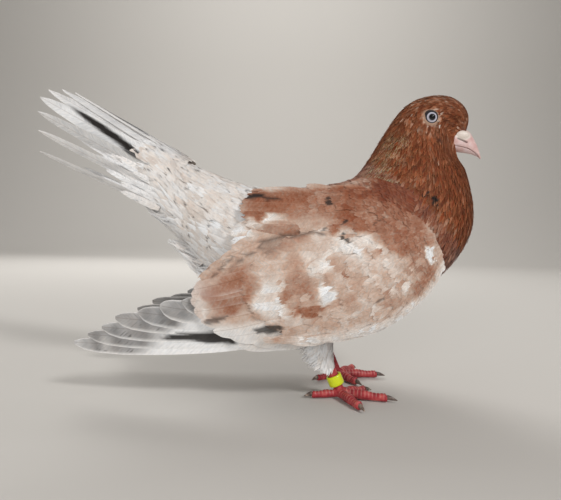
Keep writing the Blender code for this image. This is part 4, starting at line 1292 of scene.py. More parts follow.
def wing_bed(side):
    """The flesh of the wing below its feathers, as a slab that follows the wing's face."""
    along, across = 26, 20
    sheets = []
    for lift, rounding in ((BED_OUTER, -BED_ROUNDING), (BED_INNER, BED_ROUNDING)):
        rows = []
        for i in range(along + 1):
            u = i / along
            low, high = on_line(ARM_LOW, u), on_line(ARM_HIGH, u)
            v = 0.03 + 0.94 * (0.5 - 0.5 * np.cos(np.linspace(0, math.pi, across + 1)))
            spots = low + (high - low) * v[:, None]
            at_rim = (np.arange(across + 1) % across == 0) | (i % along == 0)
            lifts = lift + np.where(at_rim, rounding, 0.0)
            rows.append(wing_point(spots[:, 0], spots[:, 1], lifts) * (1, side, 1))
        sheets.append(np.array(rows))
    count = (along + 1) * (across + 1)
    number = np.arange(count).reshape(along + 1, across + 1)
    faces = []
    for first in (0, count):
        for i in range(along):
            for j in range(across):
                corners = (number[i, j], number[i, j + 1], number[i + 1, j + 1], number[i + 1, j])
                faces.append(tuple(first + k for k in corners))
    border = [*number[0, :], *number[1:, -1], *number[-1, -2::-1], *number[-2:0:-1, 0]]
    for a, b in zip(border, border[1:] + border[:1]):
        faces.append((a, b, b + count, a + count))
    return np.concatenate([sheets[0].reshape(-1, 3), sheets[1].reshape(-1, 3)]), faces


print("corners of the wing's flesh:", len(wing_bed(1)[0]))

# %% [markdown]
# Three helpers lay the feathers of one wing. The first lays the tiers of long ones, the second covers
# the arm with small ones that grow larger from the shoulder back, and the third binds the lower edge
# with a close row of narrow ones, as on the live wing, so that it reads as one smooth line.

# %% Long feathers of a wing
LONG_BLADE = 60  # From this length on, a feather has a blade's outline.


def lay_tiers(side, flights, coverts):
    for tier, (count, roots, tips, halves, lifts, bow, sink, rows, columns, skew) in WING_TIERS.items():
        piece = flights if tier in FLIGHT_TIERS else coverts
        for k in range(count):
            rank = k / (count - 1)
            root, tip = on_line(roots, rank), on_line(tips, rank) + rng.normal(0, 0.7, 2)
            half, lift = between(halves, rank), between(lifts, rank)
            place = wing_place(side, root, tip, bow, lift, lift + 0.2, sink)
            length = np.linalg.norm(tip - root)
            piece.add(
                place, length, half, BLADE if length > LONG_BLADE else ROUND, rows, columns,
                wing_uv(side, *root), thick=0.4, cup=0.07, skew=skew,
                tone=primary_tone if tier == "primaries" else None,
                torn=0.0 if piece is flights else 0.08,
            )


print("primaries in each wing:", WING_TIERS["primaries"][0])

# %% Small coverts of a wing
COVERTS_END, ARM_LENGTH = 0.93, 105  # The share of the arm that they cover, and its length.
COVERT_SIZES = ((0, 0.15, 0.4, COVERTS_END), (2.6, 4.2, 7.0, 9.0))


def lay_small_coverts(side, coverts):
    u, row = 0.0, 0
    while u < COVERTS_END:
        low, high = on_line(ARM_LOW, u), on_line(ARM_HIGH, u)
        size = np.interp(u, *COVERT_SIZES)
        reach = np.linalg.norm(high - low)
        count = max(3, int(reach / (size * 0.6)))
        for k in range(count + 1):
            v = (k + 0.5 * (row % 2) + rng.uniform(-0.25, 0.25)) / count
            if v > 1.02:
                continue
            x, z = low + (high - low) * v + rng.normal(0, 0.5, 2)
            lie = covert_lie(x, z) + rng.normal(0, 0.09)
            near_edge = 1 - 0.45 * (1 - ease(v * reach, 2, 12))
            length = size * 2.3 * rng.uniform(0.85, 1.15)
            tip_x = x - length * math.cos(lie)
            # Close to the wing's lower edge the feathers turn and lie along it.
            tip = (tip_x, max(z - length * math.sin(lie), lower_edge(tip_x) + 0.8))
            lift = 0.25 + 0.25 * rng.random()
            place = wing_place(side, (x, z), tip, 0.0, lift - 0.9, lift, 0.7)
            half = size * 0.46 * near_edge
            coverts.add(place, length, half, SOFT, 12, 8, wing_uv(side, x, z), cup=0.04, torn=0.2)
        u += size * 0.5 / ARM_LENGTH
        row += 1


print("half width of the largest small covert in mm:", round(COVERT_SIZES[1][-1] * 0.46, 1))

# %% The row along a wing's lower edge
def bind_edge(side, coverts):
    for u in np.arange(0.02, 0.99, 0.012):
        for inward in (1.5, 2.8):
            at = on_line(ARM_LOW, u)
            run = on_line(ARM_LOW, min(u + 0.1, 1.0)) - at
            length = rng.uniform(15, 21) * min(1.0, 0.4 + u)
            run = run / max(np.linalg.norm(run), 0.1)
            inner = np.array((-run[1], run[0])) * -1.0
            root = at + inner * (inward + rng.uniform(-0.3, 0.3))
            tip = root + run * length + inner * rng.uniform(0.0, 0.8)
            place = wing_place(side, root, tip, 0.0, -0.1, 0.6 + 0.2 * rng.random(), 0.4)
            coverts.add(place, length, 1.5, SOFT, 12, 4, wing_uv(side, *root), thick=0.12, torn=0.2)


print("feathers along each lower edge:", 2 * len(np.arange(0.02, 0.99, 0.012)))

# %% Grow the wings
for name, side in SIDES.items():
    bed_points, bed_faces = wing_bed(side)
    bed_mesh = list_mesh(f"wing_bed_{name}", bed_points, bed_faces)
    paint_mesh(bed_mesh, paint_wing(bed_points, np.zeros((len(bed_points), 3))))
    bed_mesh.materials.append(skin_bed)
    keep(show(bed_mesh), "wing_feathers", f"wing_{name}")
    flights = Plumes(f"flight_feathers_{name}", paint_flight)
    coverts = Plumes(f"wing_coverts_{name}", paint_wing)
    lay_tiers(side, flights, coverts)
    keep(flights.build(flight_keratin), "wing_feathers")
    lay_small_coverts(side, coverts)
    bind_edge(side, coverts)
    keep(coverts.build(covert_keratin), "wing_feathers")

# %% [markdown]
# ## The mantle
# Where the wings meet the back there is no edge on a live bird: the mantle's feathers grow on the
# back and lie over the wing's upper rim. So one smooth sheet is worked out first, from the back over
# the rim and down on to the wing's face, and then feathered in rows like the rest of the body.

# %% Width of the body, and the wing's upper rim
HALVINGS = 40  # Each one halves the stretch of the body in which (x, z) can lie.


def body_side(x, z):
    """Half the body's width at (x, z)."""
    low, high = float(RUMP), len(FLESH) - 1.0
    for _ in range(HALVINGS):
        t = (low + high) / 2
        row = spline(FLESH, t)
        ahead_of = (x - row[2]) * (row[1] - row[3]) - (z - row[3]) * (row[0] - row[2])
        low, high = (t, high) if ahead_of > 0 else (low, t)
    row = spline(FLESH, low)
    reach = math.hypot(row[0] - row[2], row[1] - row[3]) / 2
    off = math.hypot(x - (row[0] + row[2]) / 2, z - (row[1] + row[3]) / 2) / reach
    return row[4] * math.sqrt(max(0.0, 1 - off**2)) * float(face_width(x, z))


def high_edge(x):
    """The wing's upper rim, from the scapulars' ends to the shoulder."""
    return float(np.interp(x, (-14, 32, 52, 72, 90, 103, 112), (126.8, 127.4, 131, 129, 121, 110, 94)))


print("half width of the body at the wings in mm:", round(body_side(40, 100), 1))

# %% The sheet below the mantle
MANTLE_X = np.arange(-14.0, 97.0)
MANTLE_V = np.linspace(0, 3, 25)
sheet = []
for x in MANTLE_X:
    edge = high_edge(x)
    back = float(np.interp(x, FLESH[RUMP:, 0], FLESH[RUMP:, 1]))
    start_z = back - 0.4 if x < 60 else min(back - 0.4, edge + 10)
    bend_z = max((start_z + edge) / 2 + 0.6, edge + 1.2)
    knots = (
        (body_side(x, start_z) + 0.2, start_z + 0.2),
        (max(body_side(x, bend_z), 22) + 1.2, bend_z),
        (float(wing_face(np.array(x), np.array(edge - 1.5))) + 0.1, edge - 1.0),
        (float(wing_face(np.array(x), np.array(edge - 13.0))) + 0.7, edge - 13.0),
    )
    sheet.append([(x, *spline(knots, v)) for v in MANTLE_V])
sheet = np.array(sheet)
rise_x, rise_v = np.gradient(sheet, axis=0), np.gradient(sheet, axis=1)
sheet_out = np.cross(rise_x, rise_v)
sheet_out /= np.linalg.norm(sheet_out, axis=-1, keepdims=True)
sheet_out *= np.sign(sheet_out[..., 2:3] + sheet_out[..., 1:2])
sheet_step = np.linalg.norm(rise_v, axis=-1) / (MANTLE_V[1] - MANTLE_V[0])
print("mantle sheet:", sheet.shape[:2], "points")

# %% Placing a feather on the sheet
def on_sheet(table, x, v):
    """Reads a table of the sheet between its rows and columns."""
    i = np.clip(x - MANTLE_X[0], 0, len(MANTLE_X) - 1.001)
    j = np.clip(v / MANTLE_V[1], 0, len(MANTLE_V) - 1.001)
    a, b = i.astype(int), j.astype(int)
    p, q = (i - a)[..., None], (j - b)[..., None]
    near = table[a, b] * (1 - q) + table[a, b + 1] * q
    return near * (1 - p) + (table[a + 1, b] * (1 - q) + table[a + 1, b + 1] * q) * p


def step_at(x, v):
    """How many millimetres the sheet runs down for each 1 of v."""
    return float(on_sheet(sheet_step[..., None], np.array(x), np.array(v))[0])


def sheet_place(x0, v0, side, length, fan, root_lift, tip_lift):
    """A vane that lies back along the sheet. fan turns its tip towards the wing."""
    c, s = math.cos(fan), math.sin(fan)
    step = step_at(x0, v0)

    def place(share, across, lift):
        along = np.asarray(share) * length
        x, v = x0 - along * c - across * s, v0 + (along * s - across * c) / step
        up = between((root_lift, tip_lift), np.asarray(share) ** 0.6) + lift
        spot = on_sheet(sheet, x, v) + on_sheet(sheet_out, x, v) * up[..., None]
        return spot * (1, side, 1)

    return place


print("way down the mantle at the shoulder in mm:", round(step_at(60.0, 1.5) * 3))

# %% Grow the mantle
MANTLE_FIRST, MANTLE_LAST = 93.0, 8
mantle = Plumes("mantle", paint_wing)
for side in SIDES.values():
    x, row = MANTLE_FIRST, 0
    while x > MANTLE_LAST:
        small = ease(x, 50, 85)
        half, length = 3.9 - 2.2 * small, 17 - 10.5 * small
        round_length = step_at(x, 1.5) * 2.9
        count = int(round_length / (half * 1.25))
        for k in range(count + 1):
            v0 = 0.02 + 2.6 * (k + 0.5 * (row % 2) + rng.uniform(-0.2, 0.2)) / count
            fan = 0.1 + 0.12 * v0 * (1 - ease(x, 8, 30)) + rng.normal(0, 0.07)
            place = sheet_place(
                x + rng.uniform(-0.8, 0.8), v0, side, length, fan, -1.2, rng.uniform(0.1, 0.45)
            )
            mantle.add(place, length, half, SOFT, 12, 7, wing_uv(side, x, 100 + 10 * v0), torn=0.18)
        x -= length * 0.26
        row += 1
keep(mantle.build(covert_keratin), "wing_feathers")

# %% [markdown]
# ## The tail
# Fourteen stiff feathers fan over a high arch, the middle pair on top. White and grey with long dark
# streaks, they are worn, so their tips part. Soft coverts close the fan's root above and below.

# %% Placing a feather on the tail
def tail_place(along0, along1, turn, share1, base, roll=0.0):
    """A vane on the tail's arch. roll turns it about its own shaft, as a slat of a blind turns."""
    c, s = math.cos(roll), math.sin(roll)

    def place(share, across, lift):
        along = between((along0, along1), share)
        return tail_point(along, turn, share * share1, across * c - lift * s, base + lift * c + across * s)

    return place


def tail_uv(turn, along):
    return 0.5 + 0.3 * turn, 0.1 + 0.7 * along / 110


def paint_tail(points, shift):
    points = points + shift * (2.0, 0, 0.4)
    brown, black = tail_pigment(points)
    black = black + np.maximum(shift[:, 1] - 0.8, 0) * 0.08
    return brown + np.abs(shift[:, 0]) * 0.02, black, np.zeros(len(points))


print("middle of the tail on the map:", tail_uv(0.0, 55))

# %% The fan of tail feathers
fan = Plumes("tail_feathers", paint_tail)
for k in range(TAIL_FEATHERS):
    rank = 2 * k / (TAIL_FEATHERS - 1) - 1
    turn = math.radians(TAIL_SPREAD) * rank
    length = TAIL_LENGTHS[k]
    half = 6.6 - 2.8 * rank**2
    root = 6 - 10 * rank**2
    below = -0.45 * abs(k - (TAIL_FEATHERS - 1) / 2)
    roll = -np.sign(rank) * math.radians(66) * float(ease(abs(rank), 0.4, 0.72))
    place = tail_place(root, length, turn, 1.0, below, roll)
    fan.add(place, length, half, TAIL_BLADE, 40, 9, tail_uv(turn, 6), thick=0.5, cup=0.07)
keep(fan.build(flight_keratin), "tail_feathers")

# %% The tail's coverts
# Each row: place along the tail, length, count, spread in degrees, and lift.
TAIL_COVERT_ROWS = (
    (22, 42, 23, 62, 0.2),
    (12, 38, 27, 70, 0.6),
    (4, 32, 29, 78, 1.0),
    (-3, 26, 27, 80, 1.3),
)
tail_coverts = Plumes("tail_coverts", paint_tail)
for along, length, count, spread, base in TAIL_COVERT_ROWS:
    for k in range(count):
        turn = math.radians(spread) * (2 * (k + rng.uniform(-0.25, 0.25)) / (count - 1) - 1)
        start = along + rng.uniform(-2.5, 2.5)
        end, base_lift = start + length * rng.uniform(0.85, 1.1), base - 0.5 * abs(turn)
        place = tail_place(start, end, turn, 0.3, base_lift, rng.normal(0, 0.06))
        tail_coverts.add(place, length, 2.3, TAIL_BLADE, 16, 7, tail_uv(turn, along), torn=0.2)
keep(tail_coverts.build(covert_keratin), "tail_feathers")

# %% [markdown]
# ## Down below the tail and on the legs
# The vent and the thighs carry loose, downy feathers that hang in soft white points. They are narrow
# wisps, in tufts, rooted in the skin and lifted a little at their ends.

# %% Vent down
VENT_WISPS, TUFT_WISPS = 520, 22
DOWN_WAY, SIDE_WAY = np.array((0, 0, -1.0)), np.array((0, 1.0, 0))
# Tufts: root (x, z), tip (x, z), how far out the pair grows.
VENT_TUFTS = (
    ((-44, 89), (-61, 95), (0, 7)),
    ((-37, 82), (-53.5, 88.5), (0, 9)),
    ((-31, 76), (-48.5, 81), (0, 11)),
    ((-26, 72), (-43, 76), (4, 13)),
    ((-58, 108), (-75, 115), (3, 10)),
    ((-72, 121), (-91, 131), (4, 9)),
)


def paint_white(points, shift):
    brown, black = 0.02 + 0.05 * np.abs(shift[:, 0]), 0.01 + 0.02 * np.abs(shift[:, 1])
    return brown, black, np.zeros(len(points))


def free_place(root, run, bend, side_way, face_way):
    """A wisp that stands free: it runs from its root and bends, most of all in its middle."""

    def place(share, across, lift):
        share, across, lift = (np.asarray(v)[..., None] for v in (share, across, lift))
        return root + run * share + bend * share * (1 - share) + side_way * across + face_way * lift

    return place


down = Plumes("vent_down", paint_white)
for k in range(VENT_WISPS):
    t, turn = rng.uniform(1.2, 7.2), rng.uniform(1.75, 2 * math.pi - 1.75)
    length = rng.uniform(8, 15)
    place = body_place(t, turn, length, rng.normal(0, 0.22), -1.5, rng.uniform(-0.3, 1.6))
    down.add(place, length, rng.uniform(1.2, 2.6), WISP, 7, 3, body_uv(t, turn), thick=0.2, cup=0.15)
for root, tip, places in VENT_TUFTS:
    for y in sorted({y * side for y in places for side in (1, -1)}):
        base = np.array((root[0], y, root[1] + abs(y) * 0.3))
        end = np.array((tip[0], y * 1.12, tip[1] + abs(y) * 0.3))
        for k in range(TUFT_WISPS):
            start = base + rng.normal(0, 1, 3) * (2.2, 1.8, 2.2)
            close = end + rng.normal(0, 1, 3) * (1.4, 1.3, 1.0)
            reach = (close - start) * rng.uniform(0.7, 1.0)
            roll = rng.uniform(0, 2 * math.pi)
            ahead_way = reach / np.linalg.norm(reach)
            flat = np.cross(ahead_way, (0, 1, 0))
            side_way = SIDE_WAY * math.cos(roll) + flat * math.sin(roll)
            face_way = np.cross(ahead_way, side_way)
            place = free_place(start, reach, DOWN_WAY * rng.uniform(0.5, 2.5) * 4, side_way, face_way)
            length, half = np.linalg.norm(reach), rng.uniform(0.9, 1.9)
            down.add(place, length, half, WISP, 7, 3, (0.3 + y / 100, 0.2), thick=0.2, cup=0.2)
keep(down.build(down_keratin), "body_feathers")

# %% Leg down
LEG_ROWS, LEG_ROUND = 17, 26
leg_down = Plumes("leg_down", paint_white)
for name, side in SIDES.items():
    for row in range(LEG_ROWS):
        share0 = 0.12 + 0.86 * row / (LEG_ROWS - 1)
        ring = leg_ring(name, side, share0, LEG_COAT + 0.2, LEG_ROUND)
        middle = ring.mean(0)
        for k in range(LEG_ROUND):
            at = ring[(k + row // 2) % LEG_ROUND] + rng.normal(0, 0.35, 3)
            outward = (at - middle) * (1, 1, 0)
            outward /= np.linalg.norm(outward)
            fall = np.array((-0.35, 0, -1.0)) + outward * rng.uniform(0.08, 0.3)
            if outward[0] < -0.3:
                fall += np.array((-0.45, 0, 0.15))
            fall /= np.linalg.norm(fall)
            length = rng.uniform(4.5, 8.0) * (1.0 if share0 < 0.75 else 0.62)
            across_way = np.cross(outward, fall)
            across_way /= np.linalg.norm(across_way)
            place = free_place(at, fall * length, outward * 0.8, across_way, outward)
            half, uv_at = rng.uniform(0.7, 1.3), leg_uv(at[0], at[2], side > 0)
            leg_down.add(place, length, half, WISP, 5, 3, uv_at, thick=0.2, cup=0.2)
keep(leg_down.build(down_keratin), "leg_feathers")

# %% [markdown]
# ## Feet, claws and ring
# A pigeon's foot is bare red skin: a row of broad scutes runs down the front of the shank and along
# each toe, and soft pads lie below. The toes are lofted with a step at each scute, joined to the
# shank and pad, and then remeshed, so that the skin runs on from one to the next.

# %% Foot skin
# Dry bare skin: a broad soft shine, red where blood shows through, pale in the seams of the scutes.
BUMP_DEPTH = 0.0002  # metres


def mottled(name, stops, scale, detail, in_metres=True, **values):
    """A material whose colour wanders among the stops. Its lumps are counted in each metre, or
    otherwise in the piece's whole size."""
    made, tree, shader = new_material(name, **values)
    links = {"Vector": put(tree, "ShaderNodeTexCoord").outputs["Object"]} if in_metres else None
    lumps = put(tree, NOISE, {"Scale": scale, "Detail": detail}, links)
    tone = put(tree, RAMP, None, {"Fac": lumps})
    ramp(tone, stops)
    tree.links.new(tone.outputs[0], shader.inputs["Base Color"])
    return made, tree, shader, tone


red_skin, skin_tree, skin_shader, red = mottled(
    "scaled_red_skin",
    ((0.25, "#6c1c22"), (0.48, "#9a2f36"), (0.68, "#b95450"), (0.82, "#d89c8e")),
    260.0, 4.0, Roughness=0.42, IOR=1.42, Specular_IOR_Level=0.45,
)
seam_share = put(skin_tree, ATTRIBUTE, {"attribute_name": "seam"}).outputs["Fac"]
seamed = put(skin_tree, MIX, {"data_type": "RGBA", 7: linear("#d8a596")}, {0: seam_share, 6: red})
skin_tree.links.new(seamed.outputs[2], skin_shader.inputs["Base Color"])
place_3d = put(skin_tree, "ShaderNodeTexCoord")
cells = put(skin_tree, "ShaderNodeTexVoronoi", {"Scale": 1400.0}, {"Vector": place_3d.outputs["Object"]})
cell_edges = {"Height": cells.outputs["Distance"]}
skin_bump = put(skin_tree, "ShaderNodeBump", {"Strength": 0.35, "Distance": BUMP_DEPTH}, cell_edges)
skin_tree.links.new(skin_bump.outputs[0], skin_shader.inputs["Normal"])
print("nodes in the foot's skin:", len(skin_tree.nodes))

# %% Horn and celluloid
# Horn grows in layers and is worn smooth by use, which gives a waxy shine and a cloudy tone. The band
# is rolled celluloid, dyed right through: one bright colour with a clear highlight.
CLAW_TONES = ((0.3, "#3a302c"), (0.55, "#6d5c52"), (0.75, "#b7a596"))
BILL_TONES = ((0.3, "#bd9390"), (0.5, "#cfaea8"), (0.7, "#dcc6c6"))
claw_horn = mottled("claw_horn", CLAW_TONES, 420.0, 4.0, Roughness=0.38, IOR=1.54)[0]
bill_horn, bill_tree, bill_shader, bill_tone = mottled(
    "bill_horn", BILL_TONES, 160.0, 4.0, Roughness=0.42, IOR=1.54
)
# White powder on the cere, and painted shade in the nostrils' slits.
cere_share = put(bill_tree, ATTRIBUTE, {"attribute_name": "cere"}).outputs["Fac"]
powdered = {"data_type": "RGBA", 7: linear("#d2c6bc")}
cere_tone = put(bill_tree, MIX, powdered, {0: cere_share, 6: bill_tone})
nostril_shade_share = put(bill_tree, ATTRIBUTE, {"attribute_name": "nostril_shade"}).outputs["Fac"]
nostril_shade_strength = put(bill_tree, MATH, {"operation": "MULTIPLY", 1: 0.85}, {0: nostril_shade_share})
shaded = {"data_type": "RGBA", 7: linear("#4a322c")}
nostril_shaded_tone = put(bill_tree, MIX, shaded, {0: nostril_shade_strength, 6: cere_tone.outputs[2]})
bill_tree.links.new(nostril_shaded_tone.outputs[2], bill_shader.inputs["Base Color"])
powder = put(bill_tree, NOISE, {"Scale": 1800.0, "Detail": 4.0})
powder_bump = put(bill_tree, "ShaderNodeBump", {"Strength": 0.25, "Distance": BUMP_DEPTH}, {"Height": powder})
bill_tree.links.new(powder_bump.outputs[0], bill_shader.inputs["Normal"])
celluloid = mottled(
    "celluloid_band", ((0.3, "#b9c40f"), (0.6, "#d5de1c"), (0.8, "#e2e748")), 500.0, 5.0, in_metres=False,
    Roughness=0.3, IOR=1.5, Coat_Weight=0.4, Coat_Roughness=0.1,
)[0]
print("materials so far:", len(bpy.data.materials))

# %% Shapes of a foot
# Toes: name, length to the claw, length of the claw, number of scutes.
TOES = (("middle", 30, 6.5, 13), ("inner", 21, 5.5, 9), ("outer", 25, 5.5, 11), ("hind", 18, 5, 8))
TOE_RADIUS, HIND_SLIM, SHANK_RADIUS = 3.0, 0.84, 3.2
RING_HEIGHT, RING_RADIUS = 6.4, 4.9
SCUTE_STEPS, TOE_ROUND, SHANK_RINGS, SHANK_ROUND, SHANK_SCUTES = 6, 20, 36, 22, 7
SOLE = 0.12  # the lowest that a toe's skin reaches


def round_ring(centre, along, across, wide, high, count):
    """An oval ring square to along, wide across."""
    along, across = np.array(Vector(along).normalized()), np.array(Vector(across).normalized())
    up = np.cross(across, along)
    turn = round_turns(count)[:, None]
    return np.asarray(centre) + across * wide * np.cos(turn) + up * high * np.sin(turn)


def toe_shape(base, heading, side, length, slim, scutes):
    ahead_way = np.array((math.cos(heading), side * math.sin(heading), 0.0))
    across = np.array((-ahead_way[1], ahead_way[0], 0.0))
    rings = []
    for k in range(scutes * SCUTE_STEPS + 1):
        t = min(k / (scutes * SCUTE_STEPS), 0.995)
        inside = t * scutes % 1.0
        swell = 1 + 0.07 * math.cos(t * 4 * math.pi)
        thick = TOE_RADIUS * slim * (1.05 - 0.26 * t) * swell * (1 if k else 0.7)
        if t > 0.96:
            thick *= 0.8
        middle = base + ahead_way * (length * t)
        middle[2] = 0.6 * (1 - t) ** 2 + thick * 0.9
        step = 0.36 * math.sin(math.pi * min(1.0, inside * 1.25)) ** 0.5 if inside < 0.8 else 0.0
        turn = round_turns(TOE_ROUND)
        ring = middle + across * (thick * np.cos(turn))[:, None]
        ring[:, 2] += thick * np.sin(turn) + step * np.clip(np.sin(turn), 0, 1) ** 0.6
        ring[:, 2] = np.maximum(ring[:, 2], SOLE)
        rings.append(ring)
    return loft(rings)


def shank_shape(heel, base):
    down_way, front_way = (base - heel) / np.linalg.norm(base - heel), np.array((0.9, 0, 0.4))
    rings, radius = [], SHANK_RADIUS - 0.15
    for k in range(SHANK_RINGS + 1):
        t = k / SHANK_RINGS
        step = 0.22 * abs(math.sin(t * SHANK_SCUTES * math.pi)) ** 0.5
        middle = heel + (base - heel) * t
        ring = round_ring(middle, down_way, (0, 1, 0), radius, radius, SHANK_ROUND)
        front = np.clip((ring - middle) @ front_way / SHANK_RADIUS, 0, 1)
        rings.append(ring + front_way * (front * step)[:, None] * 0.5)
    return loft(rings)


def ball_shape(centre, radii, count=20, sides=24):
    rings, turn = [], round_turns(sides)
    for k in range(1, count):
        angle = math.pi * k / count
        wide = math.sin(angle)
        ring = np.stack([np.cos(turn) * wide, np.sin(turn) * wide, np.full(sides, math.cos(angle))], -1)
        rings.append(np.asarray(centre) + ring * np.asarray(radii))
    return loft(rings)


print("points on the shank:", len(shank_shape(np.array((0, 0, 9.0)), np.zeros(3))[0]))

# %% One skin round several shapes
FOOT_VOXEL, BILL_VOXEL = 0.42, 0.26


def remeshed(name, shapes, voxel, smooth):
    """One closed skin round several shapes."""
    points, faces = gather(shapes)
    rough = show(list_mesh(name, points, faces))
    melt = rough.modifiers.new("melt", "REMESH")
    melt.mode, melt.voxel_size = "VOXEL", voxel * MM
    even = rough.modifiers.new("even", "SMOOTH")
    even.factor, even.iterations = 0.5, smooth
    mesh = bpy.data.meshes.new_from_object(rough.evaluated_get(bpy.context.evaluated_depsgraph_get()))
    bpy.data.objects.remove(rough)
    mesh.name = name
    mesh.shade_smooth()
    return mesh


def read_points(mesh):
    points = np.empty(len(mesh.vertices) * 3, np.float32)
    mesh.vertices.foreach_get("co", points)
    return points.reshape(-1, 3).astype(float) / MM


def write_share(mesh, name, values):
    layer = mesh.attributes.new(name, "FLOAT", "POINT")
    layer.data.foreach_set("value", np.asarray(values, np.float32))


print("voxels of the feet and the bill in mm:", FOOT_VOXEL, BILL_VOXEL)

# %% Feet and claws
CLAW_TAPER = ((0, 0.35, 0.7, 1), (1.6, 1.35, 0.8, 0.18))
CLAW_RINGS, CLAW_ROUND = 12, 16


def claw_shape(root, ahead_way, claw):
    rings = []
    for t in np.linspace(0, 1, CLAW_RINGS):
        radius = float(np.interp(t, *CLAW_TAPER))
        middle = root + ahead_way * claw * t * 0.98
        middle[2] = max(2.6 - 1.4 * t**1.6, radius + 0.1)
        across = (-ahead_way[1], ahead_way[0], 0)
        rings.append(round_ring(middle, ahead_way, across, radius * 0.8, radius, CLAW_ROUND))
    return loft(rings)


for name, side in SIDES.items():
    (lean, out), headings = FEET[name]
    heel = np.array((HEEL[0] + lean, side * out, HEEL[1]), float)
    base = np.array((BALL[0] + lean, side * out, BALL[1]), float)
    shapes = [shank_shape(heel, base), ball_shape((base[0], base[1], 3.3), (4.2, 4.2, 3.1))]
    for (toe, length, claw, scutes), heading in zip(TOES, headings):
        slim = HIND_SLIM if toe == "hind" else 1.0
        shapes.append(toe_shape(base, math.radians(heading), side, length, slim, scutes))
    foot_mesh = remeshed(f"foot_skin_{name}", shapes, FOOT_VOXEL, 2)
    points = read_points(foot_mesh)
    seam = np.zeros(len(points))
    for (toe, length, claw, scutes), heading in zip(TOES, headings):
        ahead_way = np.array((math.cos(math.radians(heading)), side * math.sin(math.radians(heading)), 0))
        along = (points - base) @ ahead_way
        off = np.abs((points - base) @ np.array((-ahead_way[1], ahead_way[0], 0)))
        near = (off < 3.4) & (along > 3) & (points[:, 2] < 8)
        inside = np.mod(along / length * scutes, 1.0)
        groove = near * np.clip(np.abs(inside - 0.5) * 2 - 0.62, 0, 1) * 2.2
        seam = np.maximum(seam, groove * ease(points[:, 2], 1.5, 4))
        claw_root = base + ahead_way * (length * 0.985 + 0.3)
        claw_mesh = list_mesh(f"claw_horn_{name}_{toe}", *claw_shape(claw_root, ahead_way, claw))
        claw_mesh.materials.append(claw_horn)
        keep(show(claw_mesh), "claw_horn", f"claw_{name}_{toe}")
    write_share(foot_mesh, "seam", np.clip(seam, 0, 1) * 0.6)
    foot_mesh.materials.append(red_skin)
    keep(show(foot_mesh), "foot_skin", f"foot_{name}")
    print(foot_mesh.name, len(foot_mesh.polygons), "faces")

# %% Leg band
BAND_ROUND = 72
# The band's section: radius, and place along its height.
BAND_SECTION = (
    (RING_RADIUS - 0.3, -0.5), (RING_RADIUS, -0.45), (RING_RADIUS, -0.2), (RING_RADIUS, 0.0),
    (RING_RADIUS, 0.2), (RING_RADIUS, 0.45), (RING_RADIUS - 0.3, 0.5), (SHANK_RADIUS + 0.5, 0.5),
    (SHANK_RADIUS + 0.3, 0.45), (SHANK_RADIUS + 0.3, -0.45), (SHANK_RADIUS + 0.5, -0.5),
)
heel = np.array((HEEL[0], -FEET["right"][0][1], HEEL[1]), float)
base = np.array((BALL[0], -FEET["right"][0][1], BALL[1]), float)
down_way = (base - heel) / np.linalg.norm(base - heel)
middle = (heel + base) / 2
profile = [
    round_ring(middle + down_way * RING_HEIGHT * end, down_way, (0, 1, 0), radius, radius, BAND_ROUND)
    for radius, end in BAND_SECTION
]
ring_faces = tube_faces(len(profile), BAND_ROUND)
ring_mesh = list_mesh("leg_band", np.concatenate(profile), ring_faces)
ring_mesh.materials.append(celluloid)
keep(show(ring_mesh), "ring_plastic", "leg_ring")
print("leg band:", len(ring_faces), "faces,", 2 * RING_RADIUS, "mm across")

# %% [markdown]
# ## Bill
# The bill is short and hooked. Over its root sit the two lobes of the cere, white with powder, and
# below them the nostrils open as long slits. The mouth runs back as a fine line.

# %% The bill's form
# Sections: the ridge (x, z), the lower edge (x, z), and half the width.
BILL = np.array(
    (
        (127.5, 176.4, 126.0, 162.2, 6.0),
        (134.3, 177.0, 132.6, 161.6, 5.5),
        (138.3, 175.6, 137.0, 161.2, 4.7),
        (141.3, 171.6, 140.3, 160.6, 3.7),
        (143.9, 166.8, 143.2, 159.8, 2.7),
        (146.0, 161.8, 145.6, 158.4, 1.5),
        (147.4, 158.2, 146.7, 157.3, 0.6),
    ),
    float,
)
MOUTH_LINE = (0.22, 0.1)
CERE_AT, CERE_RADII, CERE_APART = (132.2, 172.2), (5.4, 2.7, 3.5), 3.6
NOSTRIL_AT, NOSTRIL_WAY = (132.6, 168.6), (0.943, -0.333)
BILL_RINGS, BILL_ROUND, LIP = 34, 28, 0.12


def bill_shape(part):
    """The bill's upper or lower half, cut along the mouth's line."""
    rings = []
    last = len(BILL) - 1.0 if part == "upper" else len(BILL) - 2.0
    for t in np.linspace(0.05, last, BILL_RINGS):
        row = spline(BILL, t)
        turn = round_turns(BILL_ROUND)
        up = (row[0:2] - row[2:4]) / 2
        reach = np.linalg.norm(up)
        share = MOUTH_LINE[0] + (MOUTH_LINE[1] - MOUTH_LINE[0]) * t / last
        level = (2 * share - 1) * reach
        high = reach * np.cos(turn)
        high = np.maximum(high, level + LIP) if part == "upper" else np.minimum(high, level - LIP)
        limit = row[4] * np.sqrt(np.clip(1 - (high / reach) ** 2, 0, 1))
        wide = np.clip(row[4] * np.sin(turn), -limit - 0.001, limit + 0.001)
        middle = (row[0:2] + row[2:4]) / 2
        spot = middle + (up / reach) * high[:, None]
        rings.append(np.stack([spot[:, 0], wide, spot[:, 1]], -1))
    return loft(rings)


print("points on the upper bill:", len(bill_shape("upper")[0]))

